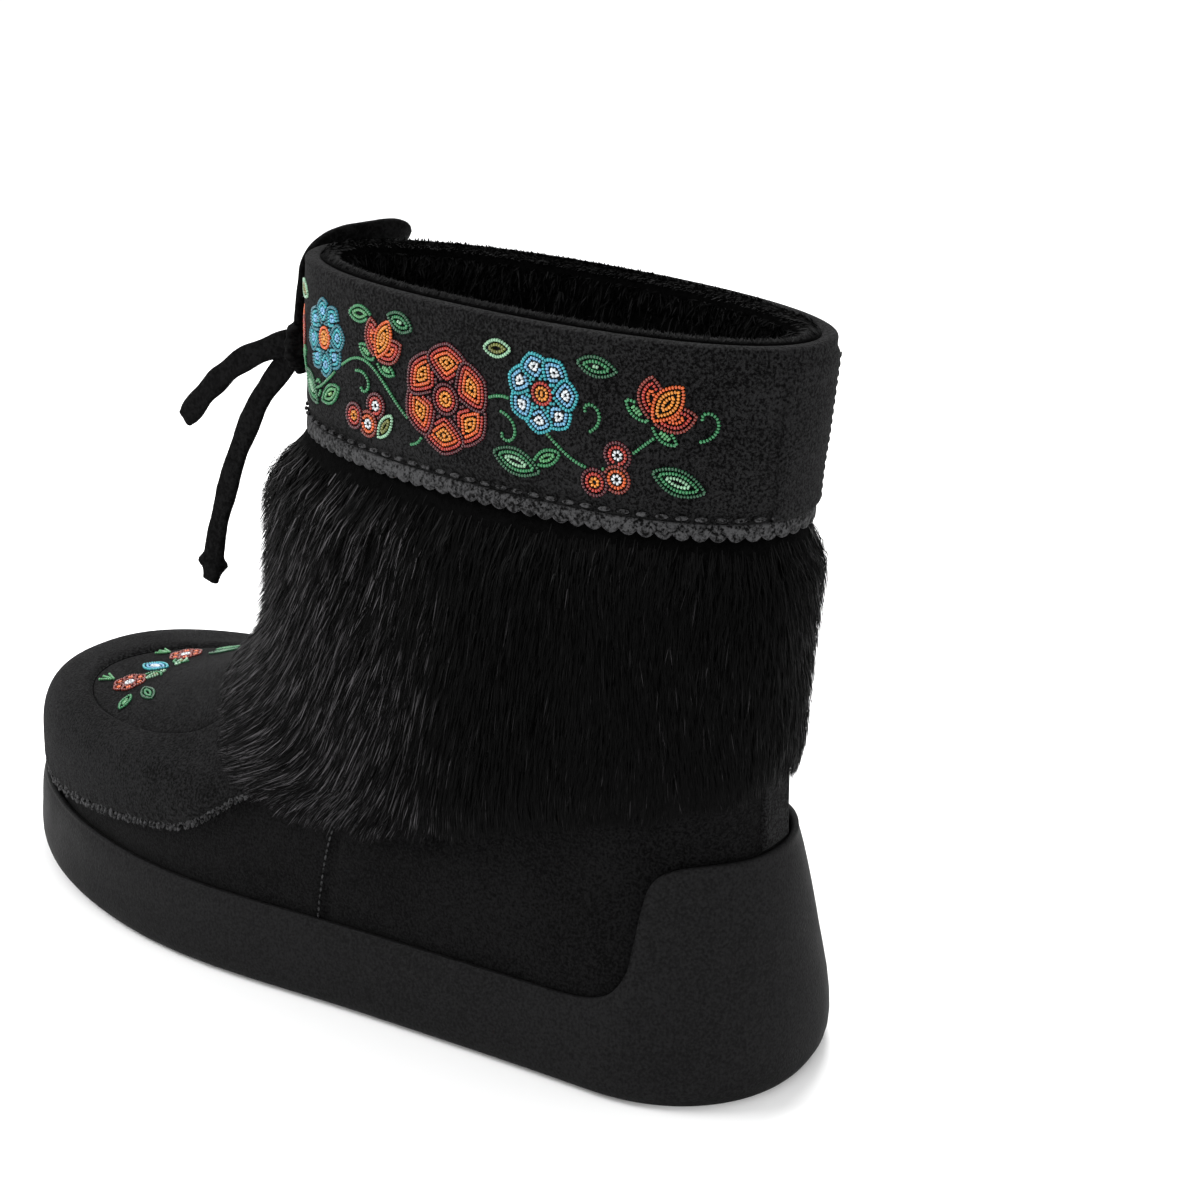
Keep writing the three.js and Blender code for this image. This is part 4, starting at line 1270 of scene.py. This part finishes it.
class Beadwork:
    """Beads in a flat pattern: places, thread directions and colours, none on another."""

    def __init__(self):
        self.places = np.zeros((0, 2))
        self.ways = np.zeros((0, 2))
        self.colours = np.zeros((0, 3))

    def row(self, line, colour, closed=False):
        """Beads along a line, a pitch apart, left out where another bead lies already."""
        line = np.asarray(line, float)
        if closed:
            line = np.concatenate([line, line[:1]])
        run = lengths(line)
        count = max(1, int(round(run[-1] / BEAD_PITCH)))
        marks = (np.arange(count) + 0.5) * run[-1] / count
        spots = on_line(marks, run, line)
        ahead = on_line(marks + 0.2, run, line) - on_line(marks - 0.2, run, line)
        ahead[np.abs(ahead).sum(1) == 0] = (1, 0)
        if len(self.places):
            near = np.linalg.norm(spots[:, None] - self.places[None], axis=2).min(1)
            keep = near > BEAD_ROOM
            spots, ahead = spots[keep], ahead[keep]
        self.places = np.concatenate([self.places, spots])
        self.ways = np.concatenate([self.ways, unit(ahead)])
        self.colours = np.concatenate([self.colours, np.tile(COLOURS[colour], (len(spots), 1))])

    def filled(self, outline, colours):
        """Rows that follow an outline inwards, each a bead's width inside the last."""
        outline = np.asarray(outline, float)
        ahead = unit(np.roll(outline, -1, 0) - np.roll(outline, 1, 0))
        inward = np.stack([-ahead[:, 1], ahead[:, 0]], -1)
        ahead_x, ahead_y = np.roll(outline, -1, 0).T
        inward *= np.sign(np.sum(outline[:, 0] * ahead_y - ahead_x * outline[:, 1]))

        def moved_in(rows):
            inset = rows * BEAD_ROW
            moved = outline + inward * inset
            return moved[np.linalg.norm(moved[:, None] - outline[None], axis=2).min(1) > inset * 0.97]

        for r in range(40):
            line = moved_in(r + 0.5)
            room = len(line) > 1
            if not room and r:
                line = moved_in(r - 0.1)
            if len(line) > 1:
                self.row(line, colours[min(r, len(colours) - 1)], True)
            if not room:
                break


def round_spot(centre, radius):
    turn = np.linspace(0, TAU, 72, endpoint=False)
    return np.asarray(centre) + np.stack([np.cos(turn), np.sin(turn)], -1) * radius


def petal(centre, angle, near, far, width, blunt=0.5):
    """A petal's outline from near to far from a centre, broadest past its middle."""
    t = np.linspace(0, 1, 40)
    wide = width / 2 * np.sin(math.pi * t ** (0.55 + blunt)) ** 0.75
    long = mix(near, far, t)
    one = np.stack([long, wide], -1)
    two = np.stack([long, -wide], -1)[::-1]
    shape = np.concatenate([one, two[1:-1]])
    c, s = math.cos(angle), math.sin(angle)
    return np.asarray(centre) + shape @ np.array([[c, s], [-s, c]])


def daisy(work, centre, radius, petals, colours, heart, twist=0.0):
    work.filled(round_spot(centre, radius * 0.3), heart)
    for k in range(petals):
        angle = twist + k * TAU / petals
        work.filled(petal(centre, angle, radius * 0.2, radius, radius * 5.6 / petals, 0.75), colours)


def curl(work, start, angle, size, hand):
    """A tendril that leaves start and curls in on itself."""
    t = np.linspace(0, 1, 90)
    heading = angle + hand * 5.6 * t ** 1.25
    step = size * (1.12 - t) / 90 * 2.4
    line = np.stack([start[0] + np.cumsum(np.cos(heading) * step),
                     start[1] + np.cumsum(np.sin(heading) * step)], -1)
    work.row(line, "green")


def tulip(work, foot, angle, size):
    for spread, colours in ((0, ["orange", "amber", "amber"]), (0.62, ["brick", "red", "orange"]),
                            (-0.62, ["brick", "red", "orange"])):
        far = size * (1.0 - 0.12 * abs(spread))
        work.filled(petal(foot, angle + spread, size * 0.05, far, size * 0.55), colours)
    for spread in (1.5, -1.5):
        work.filled(petal(foot, angle + spread, 0, size * 0.65, size * 0.32), ["green", "leaf"])


def berries(work, centre, angle, size):
    for k, colours in enumerate((
            ["maroon", "red", "amber"], ["brick", "orange", "white"], ["maroon", "red", "white"])):
        turn = angle + (k - 1) * 1.25
        spot = (centre[0] + math.cos(turn) * size * 1.35, centre[1] + math.sin(turn) * size * 1.35)
        work.filled(round_spot(spot, size), colours)


def leaf(work, foot, angle, size, colours, broad=0.42):
    work.filled(petal(foot, angle, 0, size, size * broad, 0.4), colours)


GREENS = ["dark_green", "green", "mint", "mint"]
LIMES = ["green", "leaf", "lime", "lime"]
OLIVES = ["mint", "olive", "olive", "olive"]


def cuff_pattern():
    """One side of the cuff: s runs back from the front, h up from the cuff's lower edge."""
    work = Beadwork()
    tulip(work, (15, 16), 1.8, 13)
    daisy(work, (37, 25), 10.5, 8, ["teal", "turquoise", "sky"], ["orange", "amber"], 0.2)
    berries(work, (56, 12), 5.2, 3.6)
    tulip(work, (60, 24), 1.2, 12)
    daisy(work, (84, 19.5), 14.0, 6, ["maroon", "red", "orange", "amber"], ["maroon", "red", "amber"], 0.5)
    daisy(work, (112, 26), 10.0, 7, ["turquoise", "sky", "white"], ["red", "amber"], 0.1)
    berries(work, (127, 12), 5.6, 3.6)
    tulip(work, (139, 23), 0.9, 12.5)
    for spray in (
            ((24, 14), -0.6, 13, GREENS, 0.5), ((25, 33), 2.9, 10, OLIVES, 0.5),
            ((46, 14), 3.7, 11, LIMES, 0.5), ((48, 34), 0.1, 10, LIMES, 0.5),
            ((67, 12), 4.1, 9, OLIVES, 0.5), ((73, 34), 2.9, 10, GREENS, 0.55),
            ((98, 10), -0.2, 14, GREENS, 0.5), ((95, 34), 0.1, 9, OLIVES, 0.55),
            ((121, 35), -0.1, 11, GREENS, 0.5), ((117, 13), 3.6, 9, LIMES, 0.5),
            ((139, 12), -0.3, 14, GREENS, 0.5),
    ):
        leaf(work, *spray)
    s = np.linspace(14, 146, 400)
    h = 17 + 6.5 * np.sin(s / 23.5 * math.pi + 0.6)
    work.row(np.stack([s, h], -1), "green")
    for tendril in (
            ((30, 9), -0.4, 8, 1), ((52, 20), 0.3, 8, -1), ((73, 6), 0.2, 8, 1),
            ((100, 20), -0.2, 9, -1), ((124, 19), 0.5, 8, 1), ((150, 20), 0.2, 9, 1),
            ((10, 9), 3.0, 7, -1),
    ):
        curl(work, *tendril)
    return work


def plug_pattern():
    """The toe plug: u runs out from its middle line, v forward from its middle."""
    work = Beadwork()
    for hand in (1, -1):
        daisy(work, (11.5 * hand, 27), 5.6, 6, ["brick", "orange", "amber"], ["white"], 0.3)
        leaf(work, (13 * hand, 19), -math.pi / 2 + 0.5 * hand, 11, GREENS)
        leaf(work, (17 * hand, 20), -math.pi / 2 + 1.2 * hand, 9, LIMES)
        curl(work, (6 * hand, 19), math.pi / 2 + 0.9 * hand, 8, -hand)
        for k in (-1, 0, 1):
            foot = np.array([11.5 * hand, 34.2])
            tip = foot + np.array([math.sin(0.4 * k) * 5.5, math.cos(0.4 * k) * 5.0])
            work.row([foot, tip], "leaf")
    work.filled(petal((0, 22), math.pi / 2, 0, 12, 6.4), ["turquoise", "sky", "white"])
    leaf(work, (1.5, 21), 0.3, 8, OLIVES)
    leaf(work, (-1.5, 21), math.pi - 0.3, 8, OLIVES)
    return work


def lay_beads(name, work, centre, normal, s_way, h_way):
    ahead = unit(s_way * work.ways[:, :1] + h_way * work.ways[:, 1:])
    ahead = unit(ahead + rng.normal(scale=0.05, size=ahead.shape))
    across = unit(np.cross(normal, ahead))
    count = len(centre)
    sizes = BEAD_SIZE * rng.uniform(0.92, 1.05, (count, 1))
    made = many(name, BEAD, centre, (across, np.cross(ahead, across), ahead), sizes, beads_glass)
    tone = np.clip(work.colours * rng.uniform(0.8, 1.2, (count, 1)), 0, 1)
    paint(made, "bead", np.repeat(tone, len(BEAD[0]), axis=0))


def cuff_beads():
    work = cuff_pattern()
    line = np.linspace(0, math.pi, 2000)
    for side, name in ((1, "outer"), (-1, "inner")):
        middle = station_at((CUFF_BOTTOM + COLLAR_HEIGHT) / 2)
        run = lengths(skin(line, middle, CUFF_THICKNESS))
        turn = side * np.interp(work.places[:, 0], run, line)
        at = station_at(CUFF_BOTTOM + work.places[:, 1])
        point, normal, around, up = frame_at(turn, at)
        centre = point + normal * (CUFF_THICKNESS + BEAD_RISE)
        lay_beads(f"cuff_beads_{name}", work, centre, normal, around * side, up)


def plug_beads():
    work = plug_pattern()
    x = PLUG_MIDDLE[0] + work.places[:, 0]
    y = PLUG_MIDDLE[1] - work.places[:, 1]
    turn, at = plan_place(x, y)
    point, normal = frame_at(turn, at)[:2]
    s_way = unit(np.array([1.0, 0, 0]) - normal * normal[:, :1])
    h_way = unit(np.array([0, -1.0, 0]) + normal * normal[:, 1:2])
    centre = point + normal * (PLUG_THICKNESS + 2 * BEAD_RISE)
    lay_beads("plug_beads", work, centre, normal, s_way, h_way)


cuff_beads()
plug_beads()


# Floor and light

def floor():
    mesh = bpy.data.meshes.new("floor")
    half = 60.0
    corners = [(-half, -half, 0), (half, -half, 0), (half, half, 0), (-half, half, 0)]
    mesh.from_pydata(corners, [], [(0, 1, 2, 3)])
    made = bpy.data.objects.new("floor", mesh)
    look = Look("floor_white", 0.9, Specular_IOR_Level=0.1, Base_Color=(0.97, 0.97, 0.97, 1))
    mesh.materials.append(look.made)
    bpy.context.collection.objects.link(made)


def area(name, place, target, size, power):
    data = bpy.data.lights.new(name, "AREA")
    data.shape = "DISK"
    data.size = size
    data.energy = power
    made = bpy.data.objects.new(name, data)
    made.location = place
    made.rotation_euler = (Vector(target) - Vector(place)).to_track_quat("-Z", "Y").to_euler()
    bpy.context.collection.objects.link(made)


floor()
area("key", (0.6, -1.0, 1.1), (0, 0, 0.08), 0.6, 13)
area("fill", (1.1, 1.1, 0.7), (0, 0, 0.08), 1.0, 3)
area("top", (-0.6, -0.25, 1.1), (0, 0, 0.05), 0.45, 13)
world = bpy.data.worlds.new("studio")
world.use_nodes = True
world.node_tree.nodes["Background"].inputs["Color"].default_value = (1, 1, 1, 1)
world.node_tree.nodes["Background"].inputs["Strength"].default_value = 1.06
bpy.context.scene.world = world
bpy.context.scene.view_settings.view_transform = "Standard"
